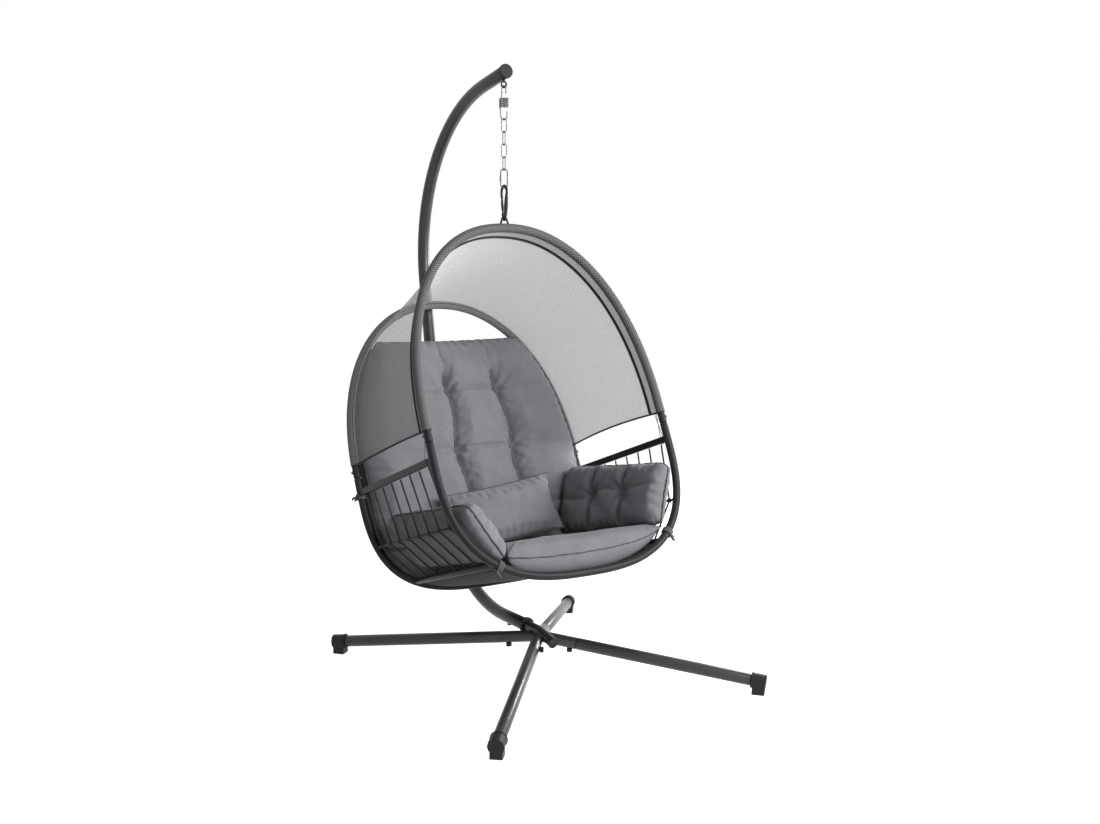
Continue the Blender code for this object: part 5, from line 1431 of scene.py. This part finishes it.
def seat_pad_point(u, v, side):
    share = mix(SEAT_PAD_START, SEAT_PAD_END, (v + 1) / 2)
    left = SEAT_PAD_LEFT_INSET - SEAT_PAD_LEFT_FILL - HOOP_HALF_WIDTH
    x = mix(left, HOOP_HALF_WIDTH - SEAT_PAD_RIGHT_INSET, (u + 1) / 2)
    under = basket_floor(x, share) + SEAT_NORMAL * SEAT_PAD_LIFT
    over = seat_point(0, share) + SEAT_NORMAL * SEAT_PAD_TALL + X_AXIS * x
    full = crown(u, v, SEAT_PAD_TOP_SQUARENESS if side > 0 else SEAT_PAD_SQUARENESS)
    place = (under + over) / 2 + (over - under) / 2 * (side * full)
    if side > 0:
        hollow = dent(u, *SEAT_PAD_HOLLOW_ACROSS) * dent(v, *SEAT_PAD_HOLLOW_ALONG)
        low = PAD_SLACK + SEAT_PAD_HOLLOW * hollow
        low += rumple(place, *SEAT_PAD_RUMPLE) + gather(u, v, *SEAT_PAD_GATHER)
        place = place - SEAT_NORMAL * (low * full)
    return place


def build_seat_cushion():
    def hold(u, v, side):
        return 0.0 if side > 0 else 1.0

    Pad("seat_cushion", seat_pad_point, hold)


def arm_fold(u):
    """The height of the fold along an arm cushion: arched between the tufts, then up to the front end."""
    first, second = ARM_PAD_TUFTS
    if u > second:
        return ARM_PAD_TUFT_LEVEL + ARM_PAD_FOLD_RISE * (u - second) / (1 - second)
    return ARM_PAD_TUFT_LEVEL + ARM_PAD_FOLD_ARCH * math.sin(math.pi * (u - first) / (second - first))


def arm_pad_sink(u, v):
    fold = crease(v, arm_fold(u), ARM_PAD_CREASE_HEIGHT) * (1 - u ** ARM_PAD_CREASE_POWER)
    sink = max(0.0, ARM_PAD_CREASE_SINK * fold)
    for tuft in ARM_PAD_TUFTS:
        dip = dent(u, tuft, ARM_PAD_TUFT_WIDTH) * dent(v, ARM_PAD_TUFT_LEVEL, ARM_PAD_TUFT_HEIGHT)
        channel = crease(u, tuft, ARM_PAD_CHANNEL_WIDTH) * (1 - v ** ARM_PAD_CHANNEL_POWER)
        sink = max(sink, ARM_PAD_TUFT_SINK * dip, ARM_PAD_CHANNEL_SINK * channel)
    return sink


def build_arm_cushion(side_name):
    place, rise, toe, lean = ARM_PADS[side_name]
    sag = ARM_PAD_SAG[side_name]
    centre = Vector(place) + Y_AXIS * HUB_Y
    outward = X_AXIS * math.copysign(1, centre.x)
    level = X_AXIS * math.sin(toe) - Y_AXIS * math.cos(toe)
    along = level * math.cos(rise) + Z_AXIS * math.sin(rise)
    across = Z_AXIS.cross(level) * math.copysign(1, Z_AXIS.cross(level).dot(outward))
    upright = Z_AXIS * math.cos(rise) - level * math.sin(rise)
    up = upright * math.cos(lean) + across * math.sin(lean)
    inward = upright * math.sin(lean) - across * math.cos(lean)

    def surface(u, v, side):
        corner = (u * v) ** ARM_PAD_CORNER_POWER
        a = ARM_PAD_LENGTH / 2 * u * (1 - ARM_PAD_END_BOW * (1 - v * v) - ARM_PAD_CORNER_END * corner)
        b = ARM_PAD_TALL / 2 * v * (1 - ARM_PAD_SIDE_BOW * (1 - u * u) - ARM_PAD_CORNER_SIDE * corner)
        b -= sag * (1 - u) / 2 * (1 - v) / 2
        spot = centre + along * a + up * b
        depth = ARM_PAD_REAR - PAD_SLACK
        if side > 0:
            folds = 0.0
            for number, tuft in enumerate(ARM_PAD_TUFTS):
                step = (u - tuft) * ARM_PAD_LENGTH / 2
                climb = (v - ARM_PAD_TUFT_LEVEL) * ARM_PAD_TALL / 2
                folds += ARM_PAD_FOLD * pinch(step, climb, PINCH_FOLDS + number, ARM_PAD_FOLD_REACH)
            depth = ARM_PAD_HALF * (1 - arm_pad_sink(u, v)) - PAD_SLACK + folds
        depth += gather(u, v, *ARM_PAD_GATHER) + rumple(spot, *ARM_PAD_RUMPLE)
        full = math.sqrt((1 - u ** ARM_PAD_END_SQUARENESS) * (1 - v ** ARM_PAD_SIDE_SQUARENESS))
        return spot + inward * (side * full * depth)

    def hold(u, v, side):
        if side <= 0:
            return 1.0 if side == 0 else ARM_PAD_REAR_HOLD
        wide, high = ARM_PAD_TUFT_HOLD
        return max(dent(u, tuft, wide) * dent(v, ARM_PAD_TUFT_LEVEL, high) for tuft in ARM_PAD_TUFTS)

    Pad("arm_cushion_" + side_name, surface, hold)


def build_lumbar_pillow():
    away = BACK_PAD_LEVEL + BACK_PAD_FRONT + LUMBAR_HALF - LUMBAR_NEST
    centre = BACK.point(0, -LUMBAR_DOWN) - PLANE_BACK * away
    along = X_AXIS * math.cos(LUMBAR_ROLL) + PLANE_UP * math.sin(LUMBAR_ROLL)
    up = PLANE_UP * math.cos(LUMBAR_ROLL) - X_AXIS * math.sin(LUMBAR_ROLL)

    def surface(u, v, side):
        x = LUMBAR_WIDTH / 2 * u * (1 - LUMBAR_EDGE_BOW * (1 - v * v))
        s = LUMBAR_TALL / 2 * v * (1 - LUMBAR_EDGE_BOW * (1 - u * u))
        spot = centre + along * x + up * s
        depth = LUMBAR_HALF - PAD_SLACK + gather(u, v, *LUMBAR_GATHER) + rumple(spot, *LUMBAR_RUMPLE)
        return spot - PLANE_BACK * (side * crown(u, v, LUMBAR_SQUARENESS) * depth)

    def hold(u, v, side):
        return 1.0 if side == 0 else 0.0

    Pad("lumbar_pillow", surface, hold)


# Ties of cushions and canopy

def build_tie(name, centre, along, outward):
    """A cushion's tie: wound round the hoop and knotted, with two short loops and two stub ends."""
    shape = bmesh.new()
    ring = HOOP_RADIUS + TIE_RADIUS + CLEAR
    wrap(shape, centre, along, outward, ring, TIE_RADIUS, TIE_TURNS)
    knot = centre + outward * (ring + TIE_RADIUS * KNOT_OUT)
    side = Z_AXIS.cross(outward).normalized()
    up = along.cross(outward)
    add_ring(shape, knot, outward, up, TIE_RADIUS * KNOT_RING, TIE_RADIUS * KNOT_WIRE, step=KNOT_STEP)
    lift = outward.cross(side).normalized() * (TIE_LOOP * LOOP_OPENING)
    for sign in SIDES.values():
        far = knot + (side * sign - Z_AXIS * LOOP_DROP + outward * LOOP_OUT) * TIE_LOOP
        loop = bezier(knot, far + lift, far - lift, knot + side * (sign * TIE_RADIUS), LOOP_STEPS)
        add_tube(shape, loop, TIE_RADIUS, flat=LOOP_FLAT)
        out = knot + (side * (sign * END_SIDE) + outward * END_OUT) * TIE_END
        low = out + (side * (sign * END_SPREAD) - Z_AXIS * END_DROP) * TIE_END
        add_tube(shape, bezier(knot, out, mix(out, low, END_BEND), low, END_STEPS), TIE_RADIUS)
    place_piece(closed_object(name + "_knot", shape), "basket", [TIE])


def build_canopy_string(side, sign):
    """A thin string from the canopy's corner down round the arm bar and back up."""
    back_end, front_end = arm_bar_ends(sign)
    along = (back_end - front_end).normalized()
    across = X_AXIS * sign
    up = across.cross(along) * math.copysign(1, across.cross(along).z)
    spot = front_end + along * STRING_BAR_SPOT
    corner = FRONT.side_point(CANOPY_FRONT_HEM_Z, sign) + PLANE_BACK * STRING_CORNER - across * STRING_INSET
    out = across * (ARM_BAR_THICK / 2 + STRING_WIDTH)
    rise = up * (ARM_BAR_TALL / 2 + STRING_WIDTH)
    lead = along * STRING_WIDTH * STRING_LEAD
    points = spread(corner - lead, spot - out + rise - lead, STRING_LEG_STEPS)
    points += spread(spot - out - rise - lead, spot + out - rise + lead, STRING_LOOP_STEPS)
    points += spread(spot + out + rise + lead, corner + lead, STRING_LEG_STEPS)
    string = tube("canopy_string_" + side, points, STRING_WIDTH / 2, CORD_SIDES)
    place_piece(string, "basket", [TIE])


def build_ties():
    spots = {"tie_front_left": (FRONT, -1, TIE_FRONT_LEFT), "tie_front_right": (FRONT, 1, TIE_FRONT_RIGHT),
             "tie_back_left": (BACK, -1, TIE_BACK_LEVEL), "tie_back_right": (BACK, 1, TIE_BACK_LEVEL)}
    for name, (hoop, sign, level) in spots.items():
        centre = hoop.edge_point(level, sign)
        along = (hoop.edge_point(level + TIE_STEP, sign) - centre).normalized()
        outward = (X_AXIS * sign - along * along.dot(X_AXIS * sign)).normalized()
        build_tie(name, centre, along, outward)
    for side, sign in SIDES.items():
        build_canopy_string(side, sign)


# Studio

def build_camera():
    data = bpy.data.cameras.new("camera")
    data.sensor_width = SENSOR_WIDTH
    data.lens = SENSOR_WIDTH * FOCAL_PIXELS / FRAME_WIDTH
    data.shift_x = (FRAME_WIDTH / 2 - CENTRE_X) / FRAME_WIDTH
    camera = add_object("camera", data)
    camera.location = CAMERA_PLACE
    camera.rotation_euler = (QUARTER_TURN - CAMERA_PITCH, 0, CAMERA_TURN)
    bpy.context.scene.camera = camera


def build_world():
    """White where it is seen, and a soft light elsewhere."""
    world = bpy.data.worlds.new("studio")
    bpy.context.scene.world = world
    world.use_nodes = True
    made = Tree(world.node_tree)
    light = made.tree.nodes["Background"]
    made.feed(light.inputs["Color"], WHITE)
    made.feed(light.inputs["Strength"], WORLD_LIGHT)
    white = made.node("ShaderNodeBackground", {"Color": WHITE, "Strength": 1.0})
    both = made.node("ShaderNodeMixShader", {"Fac": made.seen(), 1: light.outputs[0], 2: white.outputs[0]})
    made.feed(made.tree.nodes["World Output"].inputs["Surface"], both.outputs[0])


def build_floor():
    """A floor that takes shadows and glows where it is seen."""
    corners = [(x, y, FLOOR_LEVEL) for x, y in ((-FLOOR_REACH, -FLOOR_REACH), (FLOOR_REACH, -FLOOR_REACH),
                                                (FLOOR_REACH, FLOOR_REACH), (-FLOOR_REACH, FLOOR_REACH))]
    mesh = bpy.data.meshes.new("floor")
    mesh.from_pydata(corners, [], [(0, 1, 2, 3)])
    floor = add_object("floor", mesh)
    made = Shader("floor_look", FLOOR_COLOUR, FLOOR_ROUGHNESS)
    made.put("Specular IOR Level", 0.0)
    glow = made.math("MULTIPLY", made.seen(), FLOOR_GLOW)
    white = made.node("ShaderNodeEmission", {"Color": WHITE, "Strength": glow})
    both = made.node("ShaderNodeAddShader", {0: made.bsdf.outputs[0], 1: white.outputs[0]})
    made.feed(made.tree.nodes["Material Output"].inputs["Surface"], both.outputs[0])
    mesh.materials.append(made.material)


def build_lamps():
    for name, (place, size, power) in LAMPS.items():
        data = bpy.data.lights.new(name, 'AREA')
        data.shape = 'DISK'
        data.size = size
        data.energy = power
        lamp = add_object(name, data)
        lamp.location = place
        lamp.rotation_euler = (LAMP_TARGET - Vector(place)).to_track_quat('-Z', 'Y').to_euler()


def build_all():
    noise.seed_set(WELT_SEED)
    bpy.context.scene.view_settings.view_transform = 'Standard'
    build_camera()
    build_world()
    build_floor()
    build_lamps()
    build_stand()
    build_spring()
    build_chain()
    build_quick_link()
    build_pole_eye()
    build_snap_hook()
    build_hoop_eye()
    build_hoops()
    build_sides()
    build_canopy()
    build_slings()
    build_back_cushion()
    build_seat_cushion()
    build_arm_cushion("left")
    build_arm_cushion("right")
    build_lumbar_pillow()
    build_ties()


build_all()
